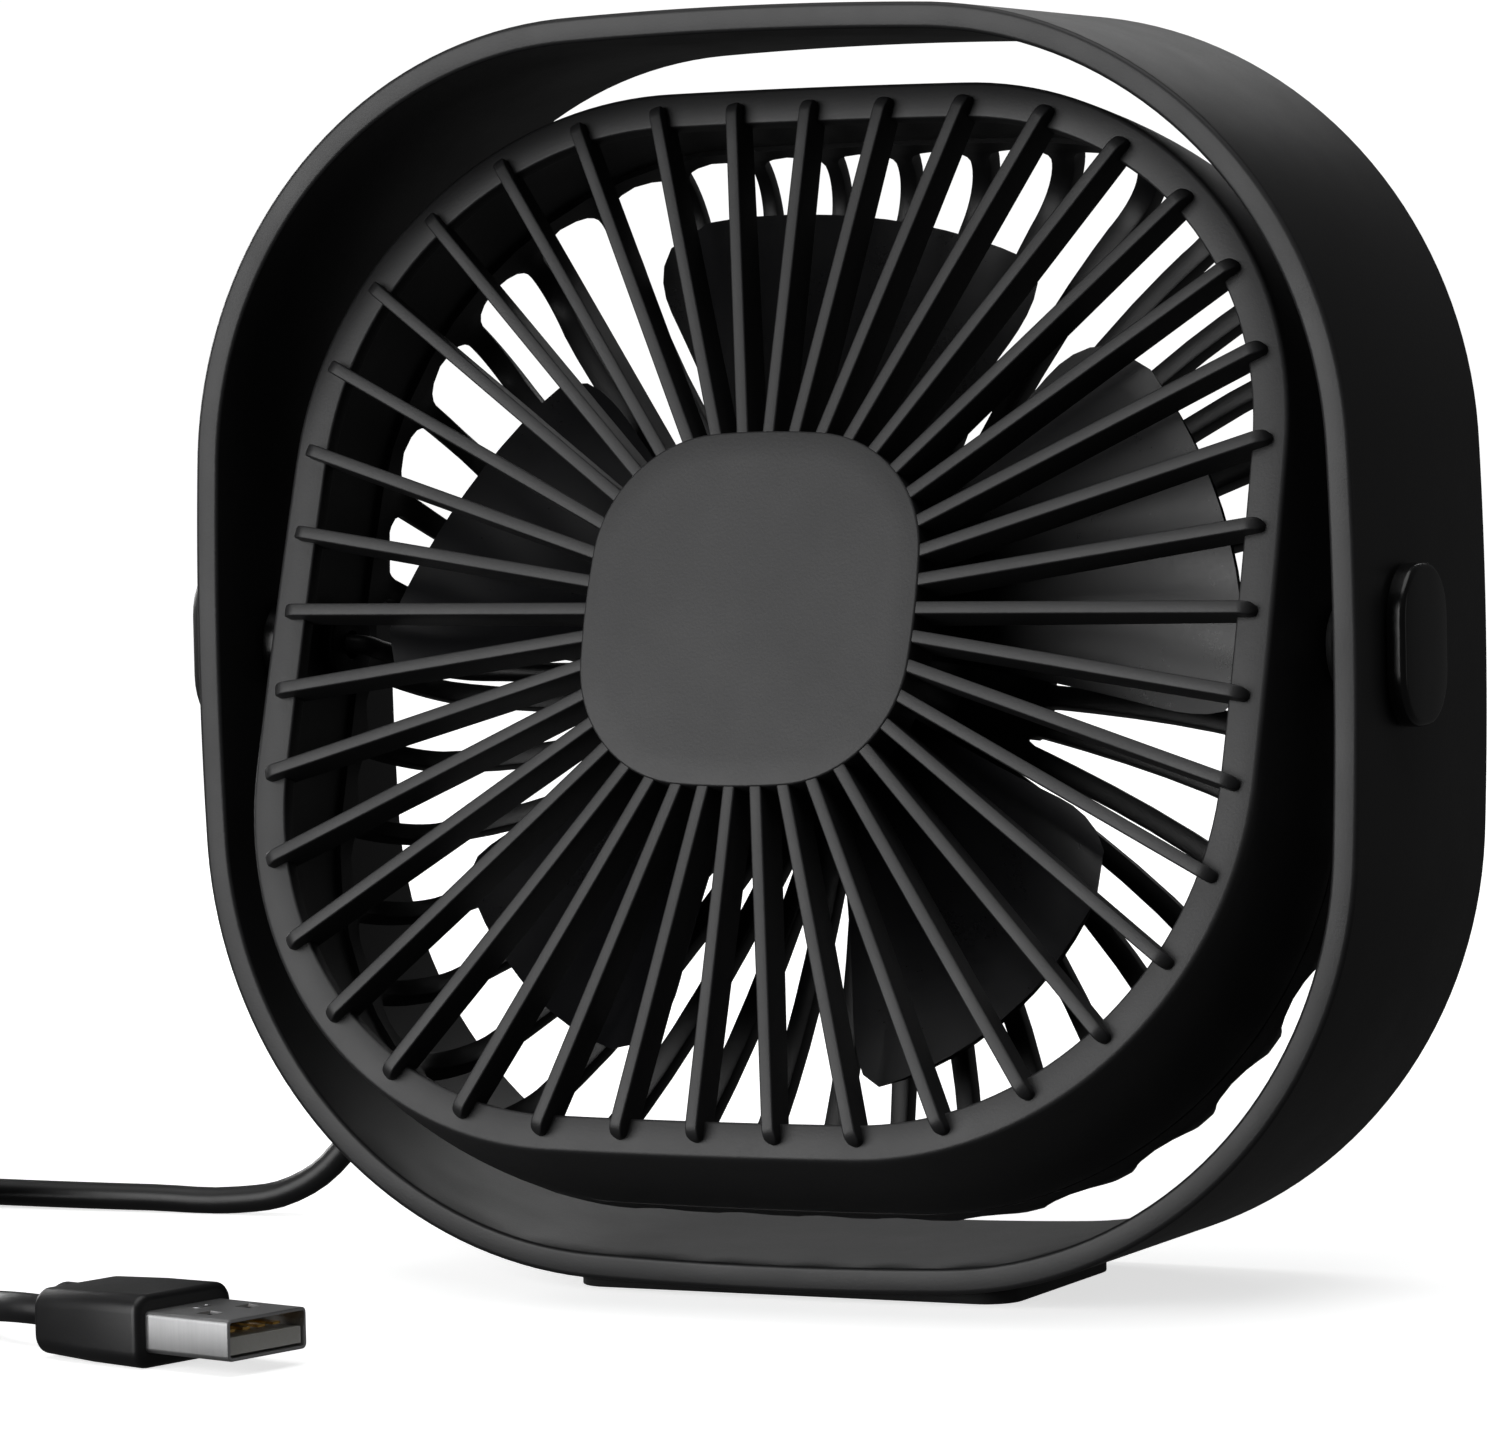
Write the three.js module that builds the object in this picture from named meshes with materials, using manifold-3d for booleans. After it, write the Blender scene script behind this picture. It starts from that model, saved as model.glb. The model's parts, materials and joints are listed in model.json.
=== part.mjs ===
// Small square desk fan: a head with a 40-rib grille that turns end over end inside a
// rounded-square hoop, with a five-blade impeller, its motor, a rear push button and a
// USB lead that leaves through the hollow left-hand pivot.
//
// Millimetres, +Z up. The fan faces -Y. The origin is on the table under the middle of the
// hoop. The head's own pieces are placed in a group that is turned about the pivot axis.

import * as THREE from "three";
import { mergeVertices } from "three/addons/utils/BufferGeometryUtils.js";
import Module from "manifold-3d";

const wasm = await Module();
wasm.setup();

// ---------------------------------------------------------------- driving dimensions

const GAP = 0.3; // between pieces that touch

// Hoop that the fan stands on
const HOOP_WIDTH = 145;
const HOOP_CORNER = 52; // outer corner radius
const HOOP_BOW = 510; // radius of each gently bowed side
const HOOP_WALL = 3;
const HOOP_DEPTH = 42;
const HOOP_SEGMENTS = 72;

const PAD_LENGTH = 55;
const PAD_DEPTH = 32;
const PAD_THICKNESS = 0.9; // at its middle

// Pivot
const PIVOT_FORWARD = 6; // pivot axis ahead of the hoop's middle
const HEAD_TILT = 17.2; // degrees, top of the head leaning back
const PIN_RADIUS = 2.9;
const LEAD_BORE_RADIUS = 1.7; // through the hollow left pin
const PIN_HEAD_RADIUS = 5;
const PIN_HEAD_THICKNESS = 1.6;
const BUSH_WALL = 1.4;
const BUSH_FLANGE_RADIUS = 5.6;
const BUSH_FLANGE_TAPER = 0.6;
const WASHER_RADIUS = 4.8;
const WASHER_THICKNESS = 0.8;

// Cover over the right-hand pivot and cable housing over the left-hand one
const COVER_DEPTH = 14; // along the hoop's depth
const COVER_HEIGHT = 18;
const COVER_CORNER = 6;
const COVER_THICKNESS = 2.4;
const HOUSING_DEPTH = 16;
const HOUSING_HEIGHT = 21;
const HOUSING_CORNER = 7;
const HOUSING_THICKNESS = 8;
const HOUSING_WALL = 1.2;
const HOUSING_BEHIND = 4.5; // its middle, behind the pivot axis

// Head
const HEAD_WIDTH = 124.8; // across the front rim
const HEAD_CORNER = 44.2;
const HEAD_BOW = 1200;
const HEAD_FLARE = 2.2; // each side, from the rim back to the seam
const HEAD_WALL = 2;
const BAND_SEGMENTS = 60;
const REAR_SEGMENTS = 40;
const RIM_AHEAD = 14.7; // rim face ahead of the pivot axis
const RIM_WIDTH = 4.2;
const RIM_THICKNESS = 2.2;
const SEAM_BEHIND = 5.8; // seam between the two mouldings, behind the pivot axis
const REAR_BEHIND = 18.5; // rear face behind the pivot axis
const REAR_CORNER = 9.5;
const REAR_WALL = 2.6;

// Front ribs and the plate that they run out from
const RIB_COUNT = 40;
const RIB_WIDTH = 1.5;
const RIB_RAISE = 2.1; // rib fronts ahead of the rim face
const RIB_DEPTH = 4.4; // at the rim
const RIB_ROOT_DEPTH = 5.6; // at the plate
const RIB_INSET = 1.7; // rib end inside the rim's outer edge
const RIB_NOSE = 1.9; // radius of the rib's rounded end
const PLATE_WIDTH = 41.4;
const PLATE_CORNER = 15;
const PLATE_BOW = 95;
const PLATE_THICKNESS = 2;
const PLATE_SKIRT = 6.2; // depth of the plate with the skirt behind it

// Rear spokes
const SPOKE_COUNT = 40;
const SPOKE_WIDTH = 2.5;
const SPOKE_SWEEP = 7; // degrees, from the hub to the wall
const SPOKE_STEPS = 3;
const REAR_HUB_MARGIN = 1.5; // outside the rear cover
const CRADLE_WALL = 1.5; // ring that holds the motor
const CRADLE_LENGTH = 12;

// Rear cover, circuit board, switch and button
const HUB_COVER_MARGIN = 3.3; // outside the circle of screws
const HUB_COVER_THICKNESS = 2.4;
const COVER_SCREW_MARGIN = 3.2; // circle of screws, outside the motor's cradle
const COVER_SCREW_COUNT = 3;
const SCREW_HEAD_RADIUS = 1.7;
const SCREW_HEAD_THICKNESS = 1;
const SCREW_SHANK_RADIUS = 0.8;
const SCREW_LENGTH = 4;
const BUTTON_RADIUS = 5;
const BUTTON_PROUD = 1.4;
const BUTTON_TRAVEL = 1.2;
const PLUNGER_RADIUS = 1.7;
const SWITCH_SIDE = 7;
const SWITCH_THICKNESS = 3.4;
const SWITCH_FLOOR = 0.8;
const BOARD_INSET = 0.8; // inside the motor's radius
const BOARD_THICKNESS = 1.2;

// Motor
const MOTOR_RADIUS = 12.2;
const MOTOR_WALL = 0.8;
const MOTOR_FRONT = -6.5; // front of the can, measured back from the pivot axis
const MOTOR_LENGTH = 15;
const END_CAP_THICKNESS = 2;
const TAB_HEIGHT = 0.9;
const TAB_WIDTH = 2;
const TAB_THICKNESS = 0.5;
const TAB_OFFSET = 7;
const BEARING_RADIUS = 3.2;
const BEARING_LENGTH = 2.4;
const SHAFT_RADIUS = 1;
const SHAFT_CLEARANCE = 0.15;
const INNER_LEAD_RADIUS = 1.2;
const MAGNET_THICKNESS = 2.2;
const MAGNET_ANGLE = 130;
const ROTOR_RADIUS = 7.6;
const ROTOR_LENGTH = 7;
const ROTOR_POLES = 3;
const COMMUTATOR_RADIUS = 2.4;
const COMMUTATOR_LENGTH = 1.8;

// Impeller
const BLADE_COUNT = 5;
const TIP_INSET = 10.9; // blade tips inside the head's front width
const BLADE_THICKNESS = 1.6;
const BLADE_ROOT_ANGLE = 46; // degrees of sector
const BLADE_TIP_ANGLE = 54;
const BLADE_PITCH = 23; // degrees
const HUB_CLEARANCE = 1.5; // round the motor's cradle
const HUB_WALL = 1.5;
const HUB_FRONT = -9.6; // measured back from the pivot axis
const HUB_DEPTH = 17;

// Lead and plug
const CORD_RADIUS = 1.7;
const RELIEF_ROOT_RADIUS = 3.1;
const RELIEF_TIP_RADIUS = 2.2;
const RELIEF_LENGTH = 20;
const RELIEF_INSIDE = 3.4; // plug of the strain relief inside the housing
const RELIEF_SLOPE = 45; // degrees below the horizontal, towards the back
const COIL_CENTRE = [-76.2, 4]; // from under the cable housing's middle
const COIL_RADIUS = 19.5; // middle of the turns
const COIL_COLUMNS = 3;
const COIL_ROWS = 4;
const CLIP_WIDTH = 7;
const CLIP_WALL = 1;
const CLIP_ANGLE = 150; // degrees, place of the clip round the coil
const PLUG_PLACE = [27.8, -78]; // middle of the overmould, from under the cable housing's middle
const PLUG_HEADING = -14; // degrees, the way the plug points
const OVERMOULD_LENGTH = 16.5;
const OVERMOULD_WIDTH = 14.7;
const OVERMOULD_HEIGHT = 8;
const OVERMOULD_CORNER = 2;
const NECK_LENGTH = 2.9;
const NECK_RADIUS = 3.4;
const USB_WIDTH = 12;
const USB_HEIGHT = 4.5;
const USB_LENGTH = 12; // of the shell that shows
const USB_WALL = 0.35;
const USB_WINDOW = 2.2;
const USB_WINDOW_APART = 5.9;
const USB_WINDOW_BACK = 5.6; // from the mouth
const TONGUE_HEIGHT = 1.8;
const CONTACT_WIDTH = 1.1;
const CONTACT_HEIGHT = 0.3;
const CONTACT_PITCH = 2.3;
const CONTACT_LENGTH = 7;

// The lead's uncoiled stretches, as points that its middle line passes through, from under
// the cable housing's middle: first from the strain relief down to the table and over to the
// coil, with each height as a share of the strain relief's tip height, then to the plug, with
// each height above a lead that lies on the table.
const FLOOR = CORD_RADIUS + 0.1;
const LEAD_DROP = [
  [-0.4, 27, 0.818],
  [-0.8, 30, 0.643],
  [-1.4, 31.3, 0.467],
  [-3.2, 31.6, 0.302],
  [-7.4, 31, 0.156],
  [-13.8, 30, 0.064],
  [-21.2, 28.9, 0],
  [-33.2, 27.8, 0],
  [-47.2, 27.1, 0],
];
const LEAD_TO_PLUG = [
  [-51.2, -20.2, 0],
  [-40.4, -25, 0],
  [-31.4, -33.4, 0],
  [-23.2, -43.6, 0],
  [-14.8, -53.6, 0],
  [-6.2, -62, 0.3],
  [2.2, -68, 1.2],
];
const CORD_SIDES = 8;
const CORD_STEP = 2.4; // diameters between sections

// ---------------------------------------------------------------- derived places

const PIVOT_HEIGHT = PAD_THICKNESS + GAP + HOOP_WIDTH / 2;
const RIB_FRONT = -RIM_AHEAD - RIB_RAISE;
const SEAM_HALF = HEAD_WIDTH / 2 + HEAD_FLARE;
const CRADLE_RADIUS = MOTOR_RADIUS + GAP + CRADLE_WALL;
const COVER_SCREW_CIRCLE = CRADLE_RADIUS + COVER_SCREW_MARGIN;
const HUB_COVER_RADIUS = COVER_SCREW_CIRCLE + HUB_COVER_MARGIN;
const REAR_HUB_RADIUS = HUB_COVER_RADIUS + REAR_HUB_MARGIN;
const HUB_RADIUS = CRADLE_RADIUS + HUB_CLEARANCE + HUB_WALL;
const TIP_RADIUS = HEAD_WIDTH / 2 - TIP_INSET;
const BOARD_RADIUS = MOTOR_RADIUS - BOARD_INSET;
const CRADLE_FRONT = REAR_BEHIND - REAR_WALL - CRADLE_LENGTH;
const MOTOR_BACK = MOTOR_FRONT + MOTOR_LENGTH;
const END_CAP_BACK = MOTOR_BACK + GAP + END_CAP_THICKNESS;
const BOARD_FRONT = END_CAP_BACK + TAB_HEIGHT + 2 * GAP;
const BOARD_BACK = BOARD_FRONT + BOARD_THICKNESS;
const SWITCH_FRONT = BOARD_BACK + GAP;
const SWITCH_BACK = SWITCH_FRONT + SWITCH_THICKNESS;
const PLUNGER_FRONT = SWITCH_FRONT + SWITCH_FLOOR + BUTTON_TRAVEL + GAP;
const BUTTON_FRONT = SWITCH_BACK + GAP + BUTTON_TRAVEL;
const HUB_COVER_FRONT = REAR_BEHIND + GAP;
const HUB_COVER_BACK = HUB_COVER_FRONT + HUB_COVER_THICKNESS;

const PLASTIC = { color: 0x161617, roughness: 0.55, metalness: 0 };
const GRILLE = { color: 0x2b2b2d, roughness: 0.6, metalness: 0 };
const GLOSSY = { color: 0x101012, roughness: 0.3, metalness: 0 };
const RUBBER = { color: 0x0f0f10, roughness: 0.85, metalness: 0 };
const STEEL = { color: 0xb4b6b8, roughness: 0.3, metalness: 1 };
const IRON = { color: 0x5a5c60, roughness: 0.5, metalness: 1 };
const BRASS = { color: 0xc79b45, roughness: 0.3, metalness: 1 };
const BRONZE = { color: 0x8a6236, roughness: 0.5, metalness: 1 };
const BOARD = { color: 0x1d5b34, roughness: 0.5, metalness: 0 };
const MAGNET = { color: 0x2c2e33, roughness: 0.6, metalness: 0.4 };
const NYLON = { color: 0xe6e3da, roughness: 0.5, metalness: 0 };

// ---------------------------------------------------------------- making solids

const radians = THREE.MathUtils.degToRad;

/** The geometry as a closed solid with its faces pointing out. */
function solidOf(geometry) {
  const bare = geometry.clone();
  bare.deleteAttribute("normal");
  bare.deleteAttribute("uv");
  const merged = mergeVertices(bare, 1e-4);
  const place = merged.attributes.position;
  const index = merged.index.array;
  const a = new THREE.Vector3();
  const b = new THREE.Vector3();
  const c = new THREE.Vector3();
  const kept = [];
  let volume = 0;
  for (let i = 0; i < index.length; i += 3) {
    const [p, q, r] = [index[i], index[i + 1], index[i + 2]];
    if (p === q || q === r || r === p) continue;
    a.fromBufferAttribute(place, p);
    b.fromBufferAttribute(place, q);
    c.fromBufferAttribute(place, r);
    volume += a.dot(b.cross(c));
    kept.push(p, q, r);
  }
  if (volume < 0) kept.reverse();
  return new wasm.Manifold(
    new wasm.Mesh({
      numProp: 3,
      vertProperties: new Float32Array(place.array),
      triVerts: new Uint32Array(kept),
    }),
  );
}

function geometryOf(solid) {
  const mesh = solid.getMesh();
  const geometry = new THREE.BufferGeometry();
  geometry.setAttribute("position", new THREE.BufferAttribute(mesh.vertProperties, 3));
  geometry.setIndex(new THREE.BufferAttribute(mesh.triVerts, 1));
  geometry.computeVertexNormals();
  return geometry;
}

/** A piece of the fan: a named mesh from a solid or a geometry. */
function piece(group, name, shape, finish) {
  const solid = shape.isBufferGeometry ? solidOf(shape) : shape;
  const mesh = new THREE.Mesh(geometryOf(solid), new THREE.MeshStandardMaterial(finish));
  mesh.name = name;
  group.add(mesh);
  return mesh;
}

/** Distance from the middle to a square with bowed sides and round corners. */
function outlineRadius(angle, half, corner, bow) {
  const quarter = Math.PI / 2;
  const folded = ((angle % quarter) + quarter) % quarter;
  const phi = Math.min(folded, quarter - folded);
  const side = half - bow;
  const reach = bow - corner;
  const k = (side + Math.sqrt(2 * reach * reach - side * side)) / 2;
  const theta = Math.atan2(k, k - side);
  const join = Math.atan2(bow * Math.sin(theta), side + bow * Math.cos(theta));
  if (phi <= join) {
    return side * Math.cos(phi) + Math.sqrt(bow ** 2 - (side * Math.sin(phi)) ** 2);
  }
  const far = k * Math.SQRT2;
  const psi = Math.PI / 4 - phi;
  return far * Math.cos(psi) + Math.sqrt(corner ** 2 - (far * Math.sin(psi)) ** 2);
}

function outlinePoints(half, corner, bow, segments) {
  return Array.from({ length: segments }, (_, i) => {
    const angle = (2 * Math.PI * i) / segments;
    const radius = outlineRadius(angle, half, corner, bow);
    return new THREE.Vector2(radius * Math.cos(angle), radius * Math.sin(angle));
  });
}

/** A flat outline in X and Z, extruded from one Y to another. */
function slab(shape, front, back, curveSegments = 6) {
  const geometry = new THREE.ExtrudeGeometry(shape, {
    depth: back - front,
    bevelEnabled: false,
    curveSegments,
  });
  geometry.rotateX(Math.PI / 2);
  geometry.translate(0, back, 0);
  return geometry;
}

/** A closed profile of [radius, y] turned about the Y axis. */
function turned(profile, segments = 20) {
  const points = profile.map(([radius, y]) => new THREE.Vector2(radius, y));
  points.push(points[0].clone());
  return new THREE.LatheGeometry(points, segments);
}

function disc(radius, front, back, segments = 20) {
  return turned([[0, front], [radius, front], [radius, back], [0, back]], segments);
}

function tube(inner, outer, front, back, segments = 20) {
  const profile = [[inner, front], [outer, front], [outer, back], [inner, back]];
  return turned(profile, segments);
}

/** A closed profile of [half width, y], swept round the head's rounded-square outline. */
function squared(profile, segments) {
  const geometry = turned(profile, segments);
  const place = geometry.attributes.position;
  for (let i = 0; i < place.count; i += 1) {
    const [x, z] = [place.getX(i), place.getZ(i)];
    const half = Math.hypot(x, z);
    if (half < 1e-6) continue;
    const corner = Math.max(HEAD_CORNER + half - HEAD_WIDTH / 2, 0.3 * half);
    const angle = Math.atan2(z, x);
    const radius = outlineRadius(angle, half, corner, HEAD_BOW);
    place.setX(i, radius * Math.cos(angle));
    place.setZ(i, radius * Math.sin(angle));
  }
  return geometry;
}

/** Turns a piece made about the Y axis so that its +Y runs along +X or -X. */
function alongX(geometry, sign) {
  return geometry.rotateZ((-sign * Math.PI) / 2);
}

function roundedRectangle(width, height, corner) {
  const [x, y] = [width / 2 - corner, height / 2 - corner];
  const shape = new THREE.Shape();
  shape.absarc(x, y, corner, 0, Math.PI / 2, false);
  shape.absarc(-x, y, corner, Math.PI / 2, Math.PI, false);
  shape.absarc(-x, -y, corner, Math.PI, 1.5 * Math.PI, false);
  shape.absarc(x, -y, corner, 1.5 * Math.PI, 2 * Math.PI, false);
  return shape;
}

function boxBetween(low, high) {
  const size = low.map((value, i) => high[i] - value);
  const geometry = new THREE.BoxGeometry(...size);
  geometry.translate(...low.map((value, i) => value + size[i] / 2));
  return geometry;
}

function union(solids) {
  return solids.reduce((all, next) => all.add(next));
}

function cutAll(solid, cutters) {
  return cutters.reduce((left, cutter) => left.subtract(cutter), solid);
}

// ---------------------------------------------------------------- stand

const fan = new THREE.Group();
fan.name = "desk_fan";

/** The pivot's own frame, level with the table. */
const pivotFrame = new THREE.Group();
pivotFrame.position.set(0, -PIVOT_FORWARD, PIVOT_HEIGHT);
fan.add(pivotFrame);

const HOOP_INNER_HALF = HOOP_WIDTH / 2 - HOOP_WALL;
const BUSH_RADIUS = PIN_RADIUS + GAP + BUSH_WALL;
const BUSH_HOLE_RADIUS = BUSH_RADIUS + GAP;

function hoop() {
  const outer = outlinePoints(HOOP_WIDTH / 2, HOOP_CORNER, HOOP_BOW, HOOP_SEGMENTS);
  const inner = outlinePoints(
    HOOP_INNER_HALF,
    HOOP_CORNER - HOOP_WALL,
    HOOP_BOW - HOOP_WALL,
    HOOP_SEGMENTS,
  );
  const shape = new THREE.Shape(outer);
  shape.holes.push(new THREE.Path(inner));
  const band = solidOf(slab(shape, PIVOT_FORWARD - HOOP_DEPTH / 2, PIVOT_FORWARD + HOOP_DEPTH / 2));
  const bore = solidOf(alongX(disc(BUSH_HOLE_RADIUS, -HOOP_WIDTH, HOOP_WIDTH), 1));
  return band.subtract(bore);
}
piece(pivotFrame, "hoop_stand", hoop(), PLASTIC);

/** Flat-bottomed strip that fills in under the hoop's bowed bottom. */
function footPad() {
  const radius = HOOP_BOW + GAP;
  const top = PAD_THICKNESS;
  const reach = Math.asin(PAD_LENGTH / 2 / radius);
  const shape = new THREE.Shape();
  shape.moveTo(-PAD_LENGTH / 2, 0);
  shape.lineTo(PAD_LENGTH / 2, 0);
  shape.absarc(0, top + radius, radius, -Math.PI / 2 + reach, -Math.PI / 2 - reach, true);
  shape.closePath();
  return slab(shape, -PAD_DEPTH / 2, PAD_DEPTH / 2, 6);
}
piece(fan, "foot_pad", footPad(), RUBBER);

const HEAD_SIDE = SEAM_HALF; // half width of the head that the pivots work against
const WASHER_START = HEAD_SIDE + GAP;
const BUSH_START = WASHER_START + WASHER_THICKNESS + GAP;
const BUSH_END = HOOP_WIDTH / 2 - GAP;
const FLANGE_END = HOOP_INNER_HALF - GAP;

function bush() {
  return turned([
    [PIN_RADIUS + GAP, BUSH_START],
    [BUSH_FLANGE_RADIUS - BUSH_FLANGE_TAPER, BUSH_START],
    [BUSH_FLANGE_RADIUS, FLANGE_END],
    [BUSH_RADIUS, FLANGE_END],
    [BUSH_RADIUS, BUSH_END],
    [PIN_RADIUS + GAP, BUSH_END],
  ]);
}

const COVER_START = HOOP_WIDTH / 2 + GAP;

function coverBlock(depth, height, corner, thickness) {
  const shape = roundedRectangle(depth, height, corner);
  const geometry = new THREE.ExtrudeGeometry(shape, {
    depth: thickness,
    bevelEnabled: false,
    curveSegments: 5,
  });
  geometry.rotateX(Math.PI / 2);
  geometry.rotateZ(Math.PI / 2);
  return geometry;
}

for (const [side, sign] of [["left", -1], ["right", 1]]) {
  piece(pivotFrame, `pivot_bush_${side}`, alongX(bush(), sign), GLOSSY);
}
const cover = coverBlock(COVER_DEPTH, COVER_HEIGHT, COVER_CORNER, COVER_THICKNESS);
cover.translate(COVER_START, 0, 0);
piece(pivotFrame, "pivot_cover_right", cover, GLOSSY);

// ---------------------------------------------------------------- cable housing and strain relief

const HOUSING_MIDDLE = -(COVER_START + HOUSING_THICKNESS / 2);
const slope = radians(RELIEF_SLOPE);
const RELIEF_WAY = new THREE.Vector3(0, Math.cos(slope), -Math.sin(slope));
const RELIEF_START = HOUSING_DEPTH / 2 / Math.cos(slope); // where it leaves the housing

/** Places a piece made along +Y on the strain relief's line, level with the housing. */
function onReliefLine(geometry) {
  geometry.rotateX(-slope);
  geometry.translate(HOUSING_MIDDLE, HOUSING_BEHIND, 0);
  return geometry;
}

function cableHousing() {
  const wall = HOUSING_WALL;
  const outside = coverBlock(HOUSING_DEPTH, HOUSING_HEIGHT, HOUSING_CORNER, HOUSING_THICKNESS);
  outside.translate(-COVER_START - HOUSING_THICKNESS, HOUSING_BEHIND, 0);
  const inside = coverBlock(
    HOUSING_DEPTH - 2 * wall,
    HOUSING_HEIGHT - 2 * wall,
    HOUSING_CORNER - wall,
    HOUSING_THICKNESS,
  );
  inside.translate(-COVER_START - HOUSING_THICKNESS + wall, HOUSING_BEHIND, 0);
  const outlet = onReliefLine(disc(RELIEF_ROOT_RADIUS + GAP, 0, 2 * RELIEF_START, 20));
  return cutAll(solidOf(outside), [solidOf(inside), solidOf(outlet)]);
}
piece(pivotFrame, "cable_housing_left", cableHousing(), PLASTIC);

const RELIEF_END = RELIEF_START + RELIEF_LENGTH;
piece(
  pivotFrame,
  "strain_relief",
  onReliefLine(
    turned(
      [
        [0, RELIEF_START - RELIEF_INSIDE],
        [RELIEF_ROOT_RADIUS, RELIEF_START - RELIEF_INSIDE],
        [RELIEF_ROOT_RADIUS, RELIEF_START + 2],
        [RELIEF_TIP_RADIUS, RELIEF_END],
        [0, RELIEF_END],
      ],
      16,
    ),
  ),
  RUBBER,
);

// ---------------------------------------------------------------- lead

/** The table under the middle of the cable housing, which the lead's places start from. */
const underHousing = new THREE.Group();
underHousing.position.x = HOUSING_MIDDLE;
fan.add(underHousing);

const reliefTip = new THREE.Vector3(0, HOUSING_BEHIND - PIVOT_FORWARD, PIVOT_HEIGHT);
reliefTip.addScaledVector(RELIEF_WAY, RELIEF_END + GAP);
const plugHeading = radians(PLUG_HEADING);
const plugWay = new THREE.Vector3(Math.cos(plugHeading), Math.sin(plugHeading), 0);
const plugMiddle = new THREE.Vector3(...PLUG_PLACE, OVERMOULD_HEIGHT / 2);
const neckEnd = plugMiddle.clone();
neckEnd.addScaledVector(plugWay, -(OVERMOULD_LENGTH / 2 + NECK_LENGTH + GAP));

function cord(points) {
  const path = new THREE.CatmullRomCurve3(points, false, "centripetal");
  const steps = Math.ceil(path.getLength() / (2 * CORD_RADIUS * CORD_STEP));
  const section = new THREE.Shape(
    Array.from({ length: CORD_SIDES }, (_, i) => {
      const angle = (2 * Math.PI * (i + 0.5)) / CORD_SIDES;
      return new THREE.Vector2(CORD_RADIUS * Math.cos(angle), CORD_RADIUS * Math.sin(angle));
    }),
  );
  return new THREE.ExtrudeGeometry(section, { steps, bevelEnabled: false, extrudePath: path });
}

const COIL_HALF_WIDTH = COIL_COLUMNS * CORD_RADIUS + 0.1;

const toVector = (point) => new THREE.Vector3(...point);
const dropPoint = ([x, y, share]) =>
  new THREE.Vector3(x, y, Math.max(share * reliefTip.z, FLOOR));
const tablePoint = ([x, y, rise]) => new THREE.Vector3(x, y, FLOOR + rise);

/** Where the lead meets the coil's outermost turn, on the coil's back or front. */
function coilGate(side) {
  const outside = COIL_RADIUS + COIL_HALF_WIDTH;
  const across = outside - CORD_RADIUS;
  const reach = Math.sqrt(outside ** 2 - (across - CORD_RADIUS) ** 2) + GAP;
  return new THREE.Vector3(COIL_CENTRE[0] + reach, COIL_CENTRE[1] + side * across, FLOOR);
}

const dropPoints = [reliefTip];
dropPoints.push(reliefTip.clone().addScaledVector(RELIEF_WAY, 3 * CORD_RADIUS));
dropPoints.push(...LEAD_DROP.map(dropPoint), coilGate(1));
piece(underHousing, "lead_from_fan", cord(dropPoints), RUBBER);

const plugPoints = [coilGate(-1), ...LEAD_TO_PLUG.map(tablePoint)];
plugPoints.push(neckEnd.clone().addScaledVector(plugWay, -4 * CORD_RADIUS));
plugPoints.push(neckEnd);
piece(underHousing, "lead_to_plug", cord(plugPoints), RUBBER);

// A storage coil, drawn as the ring that its turns fill, with a clip pushed on from above.
const COIL_TOP = FLOOR - CORD_RADIUS + 2 * CORD_RADIUS * COIL_ROWS;

function coil() {
  const ring = [COIL_RADIUS - COIL_HALF_WIDTH, COIL_RADIUS + COIL_HALF_WIDTH];
  const geometry = tube(...ring, CORD_RADIUS - FLOOR, -COIL_TOP, 32);
  geometry.rotateX(-Math.PI / 2);
  geometry.translate(...COIL_CENTRE, 0);
  return geometry;
}
piece(underHousing, "lead_coil", coil(), RUBBER);

function cordClip() {
  const inside = COIL_HALF_WIDTH + 2 * GAP;
  const outside = inside + CLIP_WALL;
  const top = COIL_TOP + GAP;
  const low = [-CLIP_WIDTH / 2, COIL_RADIUS - outside, GAP];
  const high = [CLIP_WIDTH / 2, COIL_RADIUS + outside, top + CLIP_WALL];
  const block = solidOf(boxBetween(low, high));
  const room = solidOf(
    boxBetween([-CLIP_WIDTH, COIL_RADIUS - inside, -1], [CLIP_WIDTH, COIL_RADIUS + inside, top]),
  );
  const geometry = geometryOf(block.subtract(room));
  geometry.rotateZ(radians(CLIP_ANGLE - 90));
  geometry.translate(...COIL_CENTRE, 0);
  return geometry;
}
piece(underHousing, "cord_clip", cordClip(), PLASTIC);

// ---------------------------------------------------------------- USB plug

/** The plug's own frame: +Y the way it points, its middle at the overmould's middle. */
const plug = new THREE.Group();
plug.position.copy(plugMiddle);
plug.rotation.z = plugHeading - Math.PI / 2;
underHousing.add(plug);

const MOULD_FRONT = OVERMOULD_LENGTH / 2;
const SHELL_BACK = MOULD_FRONT + GAP;
const SHELL_MOUTH = SHELL_BACK + USB_LENGTH;

function overmould() {
  const shape = roundedRectangle(OVERMOULD_WIDTH, OVERMOULD_HEIGHT, OVERMOULD_CORNER);
  const body = solidOf(slab(shape, -MOULD_FRONT, MOULD_FRONT, 3));
  return body.add(solidOf(disc(NECK_RADIUS, -MOULD_FRONT - NECK_LENGTH, 0, 16)));
}
piece(plug, "usb_overmould", overmould(), RUBBER);

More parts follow.
